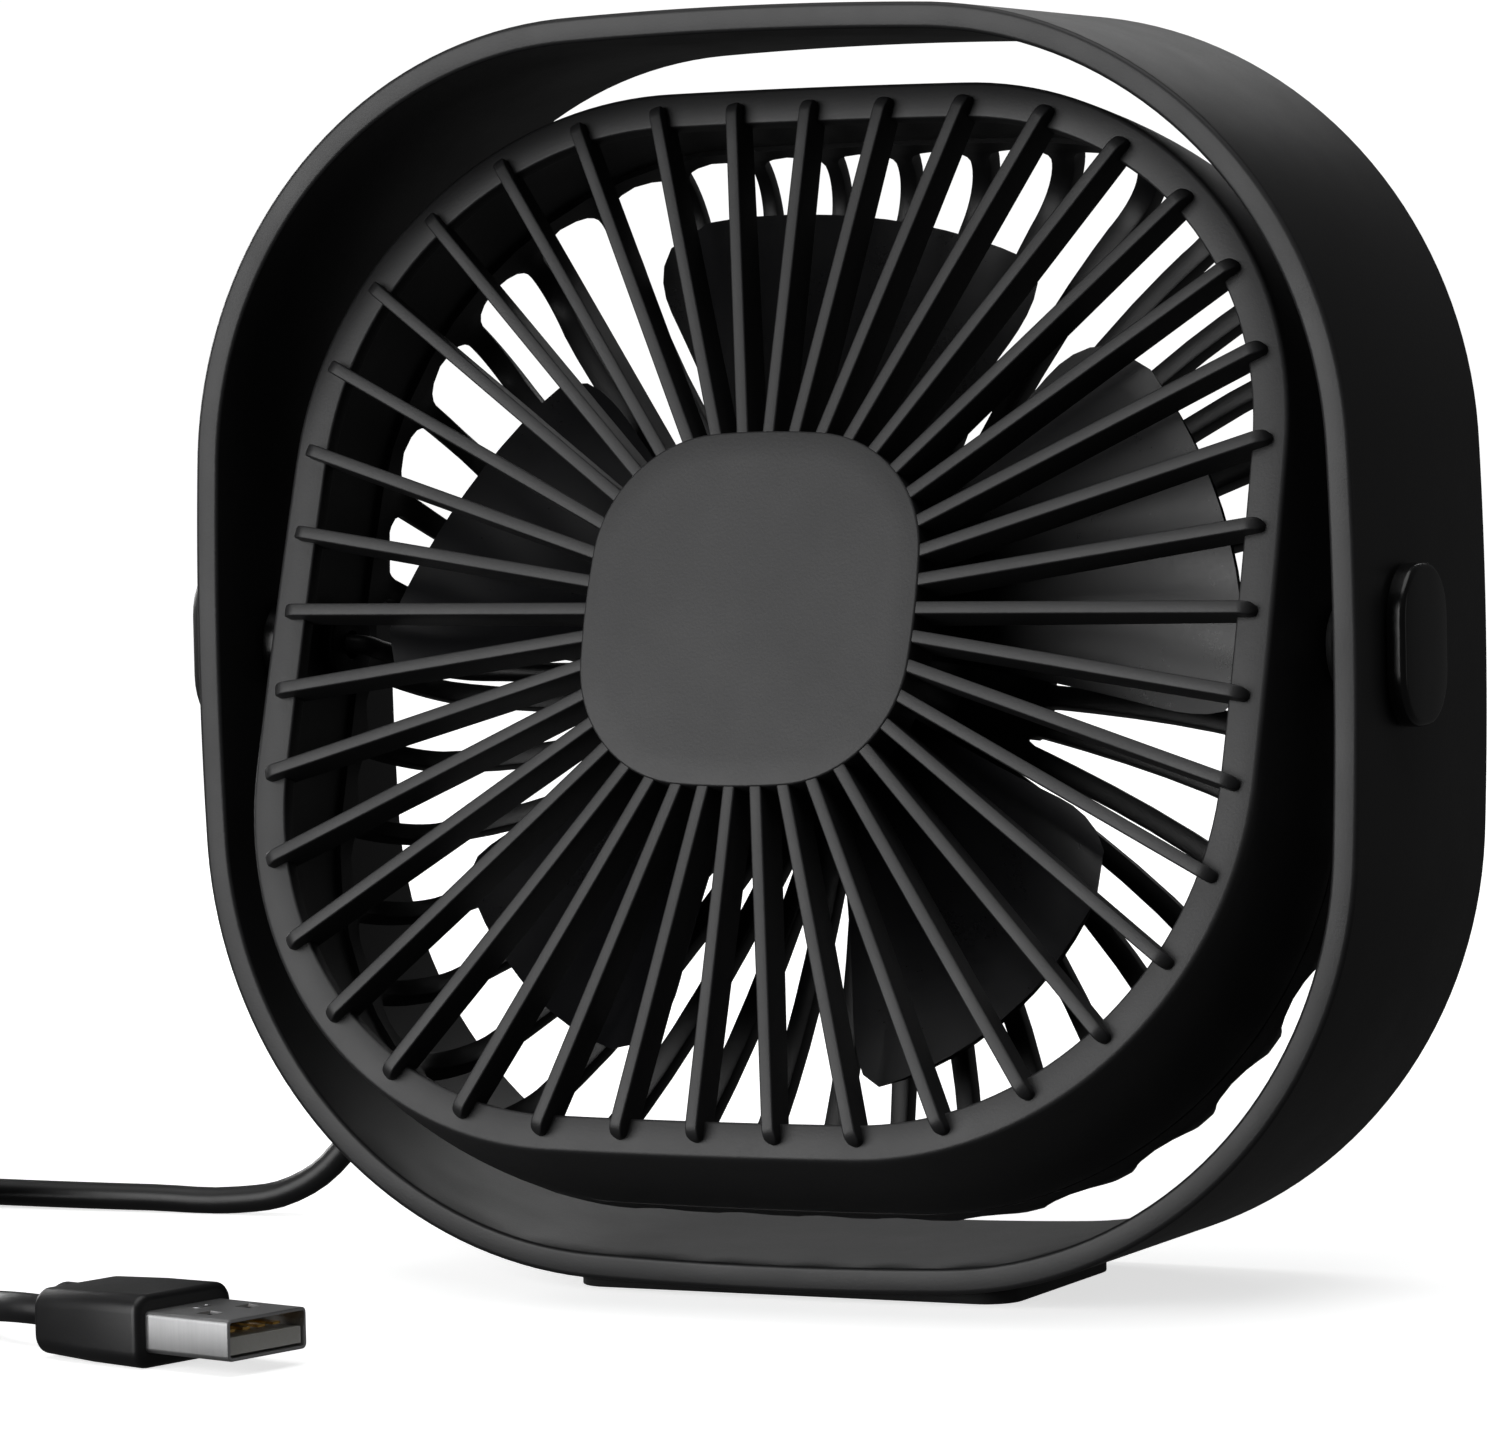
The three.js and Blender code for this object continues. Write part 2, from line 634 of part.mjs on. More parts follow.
function usbShell() {
  const outer = roundedRectangle(USB_WIDTH, USB_HEIGHT, 0.6);
  const inner = roundedRectangle(USB_WIDTH - 2 * USB_WALL, USB_HEIGHT - 2 * USB_WALL, 0.3);
  outer.holes.push(new THREE.Path(inner.getPoints(2)));
  const sleeve = solidOf(slab(outer, SHELL_BACK, SHELL_MOUTH, 2));
  const windows = [];
  for (const x of [-USB_WINDOW_APART / 2, USB_WINDOW_APART / 2]) {
    const y = SHELL_MOUTH - USB_WINDOW_BACK;
    const half = USB_WINDOW / 2;
    const low = [x - half, y - half, -USB_HEIGHT];
    windows.push(solidOf(boxBetween(low, [x + half, y + half, USB_HEIGHT])));
  }
  return cutAll(sleeve, windows);
}
piece(plug, "usb_shell", usbShell(), STEEL);

const TONGUE_TOP = -USB_HEIGHT / 2 + USB_WALL + GAP + TONGUE_HEIGHT;
const tongueHalf = USB_WIDTH / 2 - USB_WALL - GAP;
piece(
  plug,
  "usb_tongue",
  boxBetween(
    [-tongueHalf, SHELL_BACK, TONGUE_TOP - TONGUE_HEIGHT],
    [tongueHalf, SHELL_MOUTH - GAP, TONGUE_TOP],
  ),
  NYLON,
);
for (let i = 0; i < 4; i += 1) {
  const x = (i - 1.5) * CONTACT_PITCH;
  const bottom = TONGUE_TOP + GAP;
  const strip = boxBetween(
    [x - CONTACT_WIDTH / 2, SHELL_MOUTH - 2 - CONTACT_LENGTH, bottom],
    [x + CONTACT_WIDTH / 2, SHELL_MOUTH - 2, bottom + CONTACT_HEIGHT],
  );
  piece(plug, `usb_contact_${i + 1}`, strip, BRASS);
}

// ---------------------------------------------------------------- head

/** The head's frame: its pivot axis is X, it faces -Y. */
const head = new THREE.Group();
head.rotation.x = -radians(HEAD_TILT);
pivotFrame.add(head);

const pinHole = solidOf(alongX(disc(PIN_RADIUS + GAP, -HEAD_WIDTH, HEAD_WIDTH), 1));
const rimHalf = HEAD_WIDTH / 2;
const seamFront = SEAM_BEHIND - GAP;

/** Half width of the front moulding's outside at a place along its depth. */
function bandHalf(y) {
  const share = (y + RIM_AHEAD) / (seamFront + RIM_AHEAD);
  return rimHalf + HEAD_FLARE * Math.sin((share * Math.PI) / 2);
}

function band() {
  const middles = [-RIM_AHEAD, -9, -3, seamFront];
  const rimBack = RIM_THICKNESS - RIM_AHEAD;
  const outside = middles.map((y) => [bandHalf(y), y]);
  const inside = [seamFront, -3, -9, rimBack].map((y) => [bandHalf(y) - HEAD_WALL, y]);
  const rim = [[rimHalf - RIM_WIDTH, rimBack], [rimHalf - RIM_WIDTH, -RIM_AHEAD]];
  return solidOf(squared([...outside, ...inside, ...rim], BAND_SEGMENTS));
}

/** One rib, standing on its own radius at an angle from +X. */
function rib(angle) {
  const start = PLATE_WIDTH / 2 - PLATE_THICKNESS;
  const half = rimHalf - RIB_INSET;
  const corner = HEAD_CORNER - RIB_INSET;
  const end = outlineRadius(angle, half, corner, HEAD_BOW);
  const shape = new THREE.Shape();
  shape.moveTo(start, RIB_FRONT);
  shape.absarc(end - RIB_NOSE, RIB_FRONT + RIB_NOSE, RIB_NOSE, -Math.PI / 2, 0, false);
  shape.lineTo(end, RIB_FRONT + RIB_DEPTH);
  shape.lineTo(start, RIB_FRONT + RIB_ROOT_DEPTH);
  shape.closePath();
  const geometry = new THREE.ExtrudeGeometry(shape, {
    depth: RIB_WIDTH,
    bevelEnabled: false,
    curveSegments: 2,
  });
  geometry.translate(0, 0, -RIB_WIDTH / 2);
  geometry.rotateY(-angle);
  return solidOf(geometry);
}

/** The plate's outline, or one set in from it, extruded from one Y to another. */
function plateSlab(inset, front, back) {
  const sizes = [PLATE_WIDTH / 2, PLATE_CORNER, PLATE_BOW].map((size) => size - inset);
  return solidOf(slab(new THREE.Shape(outlinePoints(...sizes, 40)), front, back));
}

function frontGrille() {
  const ribs = Array.from({ length: RIB_COUNT }, (_, i) => rib((2 * Math.PI * i) / RIB_COUNT));
  const back = RIB_FRONT + PLATE_SKIRT;
  const plate = plateSlab(0, RIB_FRONT, back);
  const hollow = plateSlab(PLATE_THICKNESS, RIB_FRONT + PLATE_THICKNESS, back + 1);
  return cutAll(union([band(), plate, ...ribs]), [hollow, pinHole]);
}
piece(head, "front_grille", frontGrille(), GRILLE);

/** Outside and inside of the rear moulding: its wall, its round corner and its flat back. */
function rearProfile(inset) {
  const bend = REAR_CORNER - inset;
  const [half, back] = [SEAM_HALF - inset, REAR_BEHIND - inset];
  const points = [];
  for (const turn of [0, 45, 90]) {
    const angle = radians(turn);
    points.push([half - bend * (1 - Math.cos(angle)), back - bend * (1 - Math.sin(angle))]);
  }
  return points;
}

function rearSkin() {
  const profile = [
    [SEAM_HALF, SEAM_BEHIND],
    ...rearProfile(0),
    [0, REAR_BEHIND],
    [0, REAR_BEHIND - REAR_WALL],
    ...rearProfile(REAR_WALL).reverse(),
    [SEAM_HALF - REAR_WALL, SEAM_BEHIND],
  ];
  return solidOf(squared(profile, REAR_SEGMENTS));
}

/** One rear spoke in plan, swept round as it runs out from the hub. */
function spoke(angle) {
  const reach = outlineRadius(Math.PI / 4, SEAM_HALF, HEAD_CORNER, HEAD_BOW) + 4;
  const start = REAR_HUB_RADIUS - 3;
  const sides = [[], []];
  for (let i = 0; i <= SPOKE_STEPS; i += 1) {
    const share = i / SPOKE_STEPS;
    const radius = start + share * (reach - start);
    const turn = angle - radians(SPOKE_SWEEP) * share ** 2;
    const middle = new THREE.Vector2(Math.cos(turn), Math.sin(turn)).multiplyScalar(radius);
    const across = new THREE.Vector2(-Math.sin(turn), Math.cos(turn));
    sides[0].push(middle.clone().addScaledVector(across, SPOKE_WIDTH / 2));
    sides[1].push(middle.clone().addScaledVector(across, -SPOKE_WIDTH / 2));
  }
  const shape = new THREE.Shape([...sides[1], ...sides[0].reverse()]);
  return solidOf(slab(shape, SEAM_BEHIND - 1, REAR_BEHIND + 1));
}

function onCoverCircle(geometry, i) {
  geometry.translate(COVER_SCREW_CIRCLE, 0, 0);
  geometry.rotateY((-2 * Math.PI * (i + 0.25)) / COVER_SCREW_COUNT);
  return geometry;
}

/** The same cylinder at each of the rear cover's screws. */
function atCoverScrews(radius, front, back) {
  return Array.from({ length: COVER_SCREW_COUNT }, (_, i) =>
    solidOf(onCoverCircle(disc(radius, front, back, 12), i)),
  );
}

const INNER_LEAD_Y = (BOARD_FRONT + BOARD_BACK) / 2;

function rearGrille() {
  const spokes = Array.from({ length: SPOKE_COUNT }, (_, i) =>
    spoke((2 * Math.PI * (i + 0.5)) / SPOKE_COUNT),
  );
  const grid = rearSkin().intersect(union(spokes));
  const wallEnd = REAR_BEHIND - REAR_CORNER;
  const wallProfile = [
    [SEAM_HALF - REAR_WALL, SEAM_BEHIND],
    [SEAM_HALF, SEAM_BEHIND],
    [SEAM_HALF, wallEnd],
    [SEAM_HALF - REAR_WALL, wallEnd],
  ];
  const wall = solidOf(squared(wallProfile, REAR_SEGMENTS));
  const hub = solidOf(disc(REAR_HUB_RADIUS, REAR_BEHIND - REAR_WALL, REAR_BEHIND, 40));
  const cradle = solidOf(disc(CRADLE_RADIUS, CRADLE_FRONT, REAR_BEHIND, 24));
  const room = solidOf(disc(CRADLE_RADIUS - CRADLE_WALL, CRADLE_FRONT - 1, REAR_BEHIND + 1, 24));
  const notch = disc(INNER_LEAD_RADIUS + GAP, BOARD_RADIUS, CRADLE_RADIUS + 1, 12);
  const leadHole = alongX(notch, -1).translate(0, INNER_LEAD_Y, 0);
  const screwHoles = atCoverScrews(
    SCREW_SHANK_RADIUS + GAP,
    REAR_BEHIND - REAR_WALL - 1,
    REAR_BEHIND + 1,
  );
  return cutAll(union([grid, wall, hub, cradle]), [room, solidOf(leadHole), ...screwHoles]);
}
piece(head, "rear_grille", rearGrille(), PLASTIC);

function hubCover() {
  const lid = solidOf(disc(HUB_COVER_RADIUS, HUB_COVER_FRONT, HUB_COVER_BACK, 32));
  const sink = HUB_COVER_BACK - SCREW_HEAD_THICKNESS - GAP;
  return cutAll(lid, [
    solidOf(disc(BUTTON_RADIUS + GAP, HUB_COVER_FRONT - 1, HUB_COVER_BACK + 1, 24)),
    ...atCoverScrews(SCREW_HEAD_RADIUS + GAP, sink, HUB_COVER_BACK + 1),
    ...atCoverScrews(SCREW_SHANK_RADIUS + GAP, HUB_COVER_FRONT - 1, HUB_COVER_BACK),
  ]);
}
piece(head, "rear_hub_cover", hubCover(), PLASTIC);

for (let i = 0; i < COVER_SCREW_COUNT; i += 1) {
  const neck = HUB_COVER_BACK - SCREW_HEAD_THICKNESS;
  const screw = turned(
    [
      [0, HUB_COVER_BACK],
      [SCREW_HEAD_RADIUS, HUB_COVER_BACK],
      [SCREW_HEAD_RADIUS, neck],
      [SCREW_SHANK_RADIUS, neck],
      [SCREW_SHANK_RADIUS, HUB_COVER_BACK - SCREW_LENGTH],
      [0, HUB_COVER_BACK - SCREW_LENGTH],
    ],
    12,
  );
  piece(head, `hub_screw_${i + 1}`, onCoverCircle(screw, i), STEEL);
}

// ---------------------------------------------------------------- pivots, on the head's side

const PIN_SEAT = bandHalf(-PIN_HEAD_RADIUS) - HEAD_WALL - GAP;

/** Headed pin pushed out through the head's side and the bush. */
function pin(bore) {
  return turned([
    [bore, PIN_SEAT - PIN_HEAD_THICKNESS],
    [PIN_HEAD_RADIUS, PIN_SEAT - PIN_HEAD_THICKNESS],
    [PIN_HEAD_RADIUS, PIN_SEAT],
    [PIN_RADIUS, PIN_SEAT],
    [PIN_RADIUS, BUSH_END],
    [bore, BUSH_END],
  ]);
}
piece(head, "pivot_pin_left", alongX(pin(LEAD_BORE_RADIUS), -1), STEEL);
piece(head, "pivot_pin_right", alongX(pin(0), 1), STEEL);
for (const [side, sign] of [["left", -1], ["right", 1]]) {
  const end = WASHER_START + WASHER_THICKNESS;
  const washer = tube(PIN_RADIUS + GAP, WASHER_RADIUS, WASHER_START, end, 24);
  piece(head, `friction_washer_${side}`, alongX(washer, sign), RUBBER);
}

/** The lead's inner run: through the hollow pin, back past the blades and in to the board. */
function innerLead() {
  const points = [
    [-(BUSH_END + 2.6), 0, 0],
    [-(HEAD_SIDE + 1.5), 0, 0],
    [-(PIN_SEAT - PIN_HEAD_THICKNESS), 0, 0],
    [-(TIP_RADIUS + 6), 2.6, 0],
    [-(TIP_RADIUS + 4.2), 7.4, 0],
    [-(TIP_RADIUS + 0.6), INNER_LEAD_Y - 1, 0],
    [-(TIP_RADIUS - 6), INNER_LEAD_Y, 0],
    [-(BOARD_RADIUS + 14), INNER_LEAD_Y, 0],
    [-(BOARD_RADIUS + GAP), INNER_LEAD_Y, 0],
  ].map(toVector);
  const section = new THREE.Shape().absarc(0, 0, INNER_LEAD_RADIUS, 0, 2 * Math.PI, false);
  const path = new THREE.CatmullRomCurve3(points, false, "centripetal");
  return new THREE.ExtrudeGeometry(section, {
    steps: 26,
    bevelEnabled: false,
    extrudePath: path,
    curveSegments: 4,
  });
}
piece(head, "inner_lead", innerLead(), RUBBER);

// ---------------------------------------------------------------- motor, board and switch

piece(
  head,
  "motor_can",
  turned([
    [BEARING_RADIUS + GAP, MOTOR_FRONT],
    [MOTOR_RADIUS, MOTOR_FRONT],
    [MOTOR_RADIUS, MOTOR_BACK],
    [MOTOR_RADIUS - MOTOR_WALL, MOTOR_BACK],
    [MOTOR_RADIUS - MOTOR_WALL, MOTOR_FRONT + MOTOR_WALL],
    [BEARING_RADIUS + GAP, MOTOR_FRONT + MOTOR_WALL],
  ]),
  STEEL,
);
const endCap = tube(BEARING_RADIUS + GAP, MOTOR_RADIUS, MOTOR_BACK + GAP, END_CAP_BACK);
piece(head, "motor_end_cap", endCap, NYLON);

const BEARING_FRONT = MOTOR_FRONT - GAP;
const REAR_BEARING_FRONT = END_CAP_BACK + GAP - BEARING_LENGTH;
for (const [place, front] of [["front", BEARING_FRONT], ["rear", REAR_BEARING_FRONT]]) {
  const bearing = tube(
    SHAFT_RADIUS + SHAFT_CLEARANCE,
    BEARING_RADIUS,
    front,
    front + BEARING_LENGTH,
    20,
  );
  piece(head, `motor_bearing_${place}`, bearing, BRONZE);
}

function magnet(middle) {
  const outer = MOTOR_RADIUS - MOTOR_WALL - GAP;
  const half = radians(MAGNET_ANGLE / 2);
  const shape = new THREE.Shape();
  shape.absarc(0, 0, outer, middle - half, middle + half, false);
  shape.absarc(0, 0, outer - MAGNET_THICKNESS, middle + half, middle - half, true);
  shape.closePath();
  return slab(shape, MOTOR_FRONT + 2.5, MOTOR_BACK - 1.5, 5);
}
piece(head, "motor_magnet_left", magnet(Math.PI), MAGNET);
piece(head, "motor_magnet_right", magnet(0), MAGNET);

for (const [side, sign] of [["left", -1], ["right", 1]]) {
  const x = sign * TAB_OFFSET;
  const tab = boxBetween(
    [x - TAB_THICKNESS / 2, END_CAP_BACK + GAP, -TAB_WIDTH / 2],
    [x + TAB_THICKNESS / 2, END_CAP_BACK + GAP + TAB_HEIGHT, TAB_WIDTH / 2],
  );
  piece(head, `motor_tab_${side}`, tab, BRASS);
}

piece(head, "circuit_board", disc(BOARD_RADIUS, BOARD_FRONT, BOARD_BACK), BOARD);

function pushSwitch() {
  const half = SWITCH_SIDE / 2;
  const body = solidOf(boxBetween([-half, SWITCH_FRONT, -half], [half, SWITCH_BACK, half]));
  const bore = disc(PLUNGER_RADIUS + GAP, SWITCH_FRONT + SWITCH_FLOOR, SWITCH_BACK + 1, 16);
  return body.subtract(solidOf(bore));
}
piece(head, "push_switch", pushSwitch(), IRON);

piece(
  head,
  "power_button",
  turned(
    [
      [0, PLUNGER_FRONT],
      [PLUNGER_RADIUS, PLUNGER_FRONT],
      [PLUNGER_RADIUS, BUTTON_FRONT],
      [BUTTON_RADIUS, BUTTON_FRONT],
      [BUTTON_RADIUS, HUB_COVER_BACK + BUTTON_PROUD],
      [0, HUB_COVER_BACK + BUTTON_PROUD],
    ],
    24,
  ),
  GLOSSY,
);

// ---------------------------------------------------------------- what spins

const SHAFT_FRONT = HUB_FRONT + HUB_WALL / 2;
const SHAFT_BACK = END_CAP_BACK - GAP;
piece(head, "motor_shaft", disc(SHAFT_RADIUS, SHAFT_FRONT, SHAFT_BACK, 16), STEEL);

const ROTOR_FRONT = BEARING_FRONT + BEARING_LENGTH + 2.5;
const rotorBore = solidOf(disc(SHAFT_RADIUS + GAP, MOTOR_FRONT, MOTOR_BACK, 16));

function rotorCore() {
  const back = ROTOR_FRONT + ROTOR_LENGTH;
  const core = solidOf(disc(ROTOR_RADIUS, ROTOR_FRONT, back, 24));
  const slots = Array.from({ length: ROTOR_POLES }, (_, i) => {
    const low = [ROTOR_RADIUS / 2, ROTOR_FRONT - 1, -0.8];
    const slot = boxBetween(low, [ROTOR_RADIUS + 1, back + 1, 0.8]);
    return solidOf(slot.rotateY((2 * Math.PI * i) / ROTOR_POLES));
  });
  return cutAll(core, [...slots, rotorBore]);
}
piece(head, "rotor_core", rotorCore(), IRON);

const COMMUTATOR_FRONT = ROTOR_FRONT + ROTOR_LENGTH + GAP;
const commutatorBack = COMMUTATOR_FRONT + COMMUTATOR_LENGTH;
const commutator = tube(SHAFT_RADIUS + GAP, COMMUTATOR_RADIUS, COMMUTATOR_FRONT, commutatorBack, 16);
piece(head, "commutator", commutator, BRASS);

function blade(angle) {
  const [root, tip] = [BLADE_ROOT_ANGLE, BLADE_TIP_ANGLE].map((span) => radians(span / 2));
  const start = HUB_RADIUS - HUB_WALL / 2;
  const shape = new THREE.Shape();
  shape.absarc(0, 0, start, root, -root, true);
  shape.absarc(0, 0, TIP_RADIUS, -tip, tip, false);
  shape.closePath();
  const geometry = slab(shape, -BLADE_THICKNESS / 2, BLADE_THICKNESS / 2, 4);
  geometry.rotateX(radians(BLADE_PITCH));
  geometry.translate(0, HUB_FRONT + HUB_DEPTH / 2, 0);
  geometry.rotateY(-angle);
  return solidOf(geometry);
}

function impeller() {
  const back = HUB_FRONT + HUB_DEPTH;
  const blades = Array.from({ length: BLADE_COUNT }, (_, i) =>
    blade(Math.PI / 2 + (2 * Math.PI * i) / BLADE_COUNT),
  );
  const hub = solidOf(disc(HUB_RADIUS, HUB_FRONT, back, 32));
  const room = solidOf(disc(HUB_RADIUS - HUB_WALL, HUB_FRONT + HUB_WALL, back + 1, 32));
  const boss = solidOf(disc(SHAFT_RADIUS + 2, HUB_FRONT + HUB_WALL / 2, BEARING_FRONT - GAP, 16));
  const bore = solidOf(disc(SHAFT_RADIUS + GAP, SHAFT_FRONT - GAP, MOTOR_FRONT, 16));
  return union([hub, ...blades]).subtract(room).add(boss).subtract(bore);
}
piece(head, "impeller", impeller(), GLOSSY);

export default fan;
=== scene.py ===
"""Hoop-framed desk fan: the finished surfaces of every piece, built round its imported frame.

All sizes are in metres. The fan faces -Y and stands on the XY plane. Pieces of the head are
made about the head's own pivot axis, facing -Y, and are then turned with the head.
"""

import json
import logging
import math
from collections.abc import Callable, Sequence
from dataclasses import dataclass, field
from enum import Enum
from typing import Any

import bmesh
import bpy
from mathutils import Matrix, Vector


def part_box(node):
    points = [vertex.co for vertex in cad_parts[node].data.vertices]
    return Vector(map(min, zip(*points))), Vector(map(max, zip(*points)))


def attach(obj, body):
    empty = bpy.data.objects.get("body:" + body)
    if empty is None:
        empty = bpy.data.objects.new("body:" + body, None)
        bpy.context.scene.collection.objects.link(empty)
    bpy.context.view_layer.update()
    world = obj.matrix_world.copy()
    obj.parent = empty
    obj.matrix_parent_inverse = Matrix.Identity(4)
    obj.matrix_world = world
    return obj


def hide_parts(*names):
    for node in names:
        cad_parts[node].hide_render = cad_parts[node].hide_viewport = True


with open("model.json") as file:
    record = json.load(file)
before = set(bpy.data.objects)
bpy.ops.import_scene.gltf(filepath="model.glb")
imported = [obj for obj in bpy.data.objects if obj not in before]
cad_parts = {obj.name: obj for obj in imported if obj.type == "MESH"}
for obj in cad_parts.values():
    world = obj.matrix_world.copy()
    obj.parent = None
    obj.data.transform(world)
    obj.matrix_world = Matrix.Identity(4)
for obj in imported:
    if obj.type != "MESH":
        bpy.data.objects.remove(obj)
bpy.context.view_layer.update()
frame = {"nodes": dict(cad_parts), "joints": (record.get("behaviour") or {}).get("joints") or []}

log = logging.getLogger("desk_fan")

Pair = tuple[float, float]
Corner = tuple[float, float, float]

FINE = 240  # segments round the big outlines
ROUND = 64  # segments round a small turned piece
GAP = 0.0003  # between pieces that touch
THROUGH = 0.1  # half length of a cutter that goes right through
RELIEF_SLOPE = math.radians(45)  # how far the lead's exit dips below level
RELIEF_START = 0.016 / 2 / math.cos(RELIEF_SLOPE)  # from the middle of its housing to its wall
RELIEF_END = RELIEF_START + 0.02


# ------------------------------------------------------------------ frame places


def pivot_place() -> Vector:
    """The middle of the head's pivot axis."""
    return Vector(next(joint["pos_m"] for joint in frame["joints"] if joint["name"] == "head_tilt"))


def head_matrix() -> Matrix:
    """Takes the head's own frame, facing -Y, to where the head is held.

    Returns:
        The matrix.
    """
    axis = next(joint["axis"] for joint in frame["joints"] if joint["name"] == "fan_spin")
    tilt = math.atan2(axis[2], -axis[1])
    return Matrix.Translation(pivot_place()) @ Matrix.Rotation(-tilt, 4, "X")


def relief_place() -> Matrix:
    """From the strain relief's own frame, pointing along +Y, to the middle of its housing."""
    low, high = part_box("cable_housing_left")
    return Matrix.Translation((low + high) / 2) @ Matrix.Rotation(-RELIEF_SLOPE, 4, "X")


def along_x(side: int) -> Matrix:
    """Turns a piece made along +Y so that its +Y runs along +X, or along -X.

    Args:
        side: 1 for +X and -1 for -X.
    """
    return Matrix.Rotation(-side * math.pi / 2, 4, "Z")


# ------------------------------------------------------------------ nodes and finishes


def linear(code: str) -> tuple[float, float, float, float]:
    """Turns an sRGB hex colour into linear red, green, blue and alpha.

    Args:
        code: six hex digits.

    Returns:
        The linear colour, with an alpha of 1.
    """
    parts = [int(code[i : i + 2], 16) / 255 for i in (0, 2, 4)]
    red, green, blue = (p / 12.92 if p <= 0.04045 else ((p + 0.055) / 1.055) ** 2.4 for p in parts)
    return red, green, blue, 1.0


def add_node(
    tree: bpy.types.NodeTree,
    kind: str,
    settings: dict[str, Any] | None = None,
    inputs: dict[str | int, Any] | None = None,
) -> bpy.types.Node:
    """Adds a node, sets it up and links it.

    Args:
        tree: the node tree.
        kind: the node's type name.
        settings: attribute values of the node.
        inputs: a value, or an output socket to link from, for each input name or number.

    Returns:
        The new node.
    """
    node = tree.nodes.new(kind)
    for name, value in (settings or {}).items():
        setattr(node, name, value)
    for key, value in (inputs or {}).items():
        if isinstance(value, bpy.types.NodeSocket):
            tree.links.new(value, node.inputs[key])
        else:
            node.inputs[key].default_value = value
    return node


class Surface(Enum):
    """How a moulded or worked surface breaks up the light."""

    GRAINED = "spark-eroded mould: small even pits"
    POLISHED = "polished mould: hardly any pits"
    BRUSHED = "drawn or turned metal: fine lines one way"


@dataclass(frozen=True)
class Finish:
    """One material: its base, its gloss and the fine marks on it."""

    name: str
    colour: str
    shade: str  # second colour of the slow variation
    roughness: float
    grain: float  # real size of the marks
    depth: float  # how deep they are
    surface: Surface = Surface.GRAINED
    metallic: float = 0.0
    drift: float = 0.06  # how far the roughness wanders
    sheen: float = 0.0
    patches: float = 90.0  # slow patches of colour and gloss in a metre
    drawn_out: float = 0.06  # scale of brushed marks along their length

    def material(self) -> bpy.types.Material:
        """Makes the material the first time, and returns the same one after that.

        Returns:
            The material.
        """
        known = bpy.data.materials.get(self.name)
        if known:
            return known
        made = bpy.data.materials.new(self.name)
        made.use_nodes = True
        tree = made.node_tree
        tree.nodes.clear()
        place = add_node(tree, "ShaderNodeTexCoord").outputs["Object"]
        stretch = (1.0, 1.0, self.drawn_out if self.surface is Surface.BRUSHED else 1.0)
        lay = add_node(tree, "ShaderNodeMapping", inputs={"Vector": place, "Scale": stretch})
        marks = add_node(
            tree,
            "ShaderNodeTexNoise",
            inputs={
                "Vector": lay.outputs[0],
                "Scale": 1 / self.grain,
                "Detail": 3.0,
                "Roughness": 0.55,
            },
        )
        patches = add_node(
            tree,
            "ShaderNodeTexNoise",
            inputs={"Vector": place, "Scale": self.patches, "Detail": 4.0, "Roughness": 0.6},
        )
        both = add_node(
            tree,
            "ShaderNodeMath",
            {"operation": "MULTIPLY_ADD"},
            {0: marks.outputs["Fac"], 1: 0.6, 2: patches.outputs["Fac"]},
        )
        colour = add_node(tree, "ShaderNodeValToRGB", inputs={"Fac": both.outputs[0]})
        ramp = colour.color_ramp.elements
        ramp[0].position, ramp[1].position = 0.45, 1.1
        ramp[0].color, ramp[1].color = linear(self.shade), linear(self.colour)
        gloss = add_node(
            tree,
            "ShaderNodeMapRange",
            inputs={
                "Value": both.outputs[0],
                "From Min": 0.4,
                "From Max": 1.2,
                "To Min": self.roughness - self.drift,
                "To Max": self.roughness + self.drift,
            },
        )
        bump = add_node(
            tree,
            "ShaderNodeBump",
            inputs={"Height": marks.outputs["Fac"], "Distance": self.depth, "Strength": 1.0},
        )
        shader = add_node(
            tree,
            "ShaderNodeBsdfPrincipled",
            inputs={
                "Base Color": colour.outputs["Color"],
                "Roughness": gloss.outputs["Result"],
                "Normal": bump.outputs["Normal"],
                "Metallic": self.metallic,
                "Sheen Weight": self.sheen,
            },
        )
        add_node(tree, "ShaderNodeOutputMaterial", inputs={"Surface": shader.outputs["BSDF"]})
        return made


# ABS moulded in a spark-eroded tool: dark grey in strong light, an even fine sparkle, no shine.
HOOP_ABS = Finish("grained black ABS", "232324", "1d1d1e", 0.46, 0.0003, 0.000014)
GRILLE_ABS = Finish("grained charcoal ABS", "262627", "202021", 0.48, 0.0003, 0.000016)
REAR_ABS = Finish("grained dark ABS", "1e1e1f", "18181a", 0.44, 0.0003, 0.000012)
# ABS from a polished tool: near black with a clear soft highlight.
GLOSS_ABS = Finish(
    "polished black ABS", "141415", "0f0f10", 0.24, 0.0006, 0.000004, Surface.POLISHED
)
BLADE_ABS = Finish("satin black ABS", "141416", "0f0f11", 0.3, 0.0005, 0.000005, Surface.POLISHED)
# Thermoplastic rubber: soft black with a dull bloom.
TPR = Finish("soft black rubber", "161617", "101011", 0.72, 0.0004, 0.00002, sheen=0.15)
# PVC lead jacket: smooth extruded black, half gloss, faint long waves from the die.
PVC = Finish("extruded black PVC", "1b1b1c", "141415", 0.42, 0.0011, 0.00001)
PVC_MOULD = Finish("moulded black PVC", "19191a", "121213", 0.4, 0.0004, 0.000008)
# Deep-drawn steel with bright nickel: pale, sharp lines of reflection, slightly brushed.
NICKEL = Finish(
    "nickel-plated steel", "d2d2d3", "c2c3c4", 0.36, 0.0004, 0.000003, Surface.BRUSHED, 1.0
)
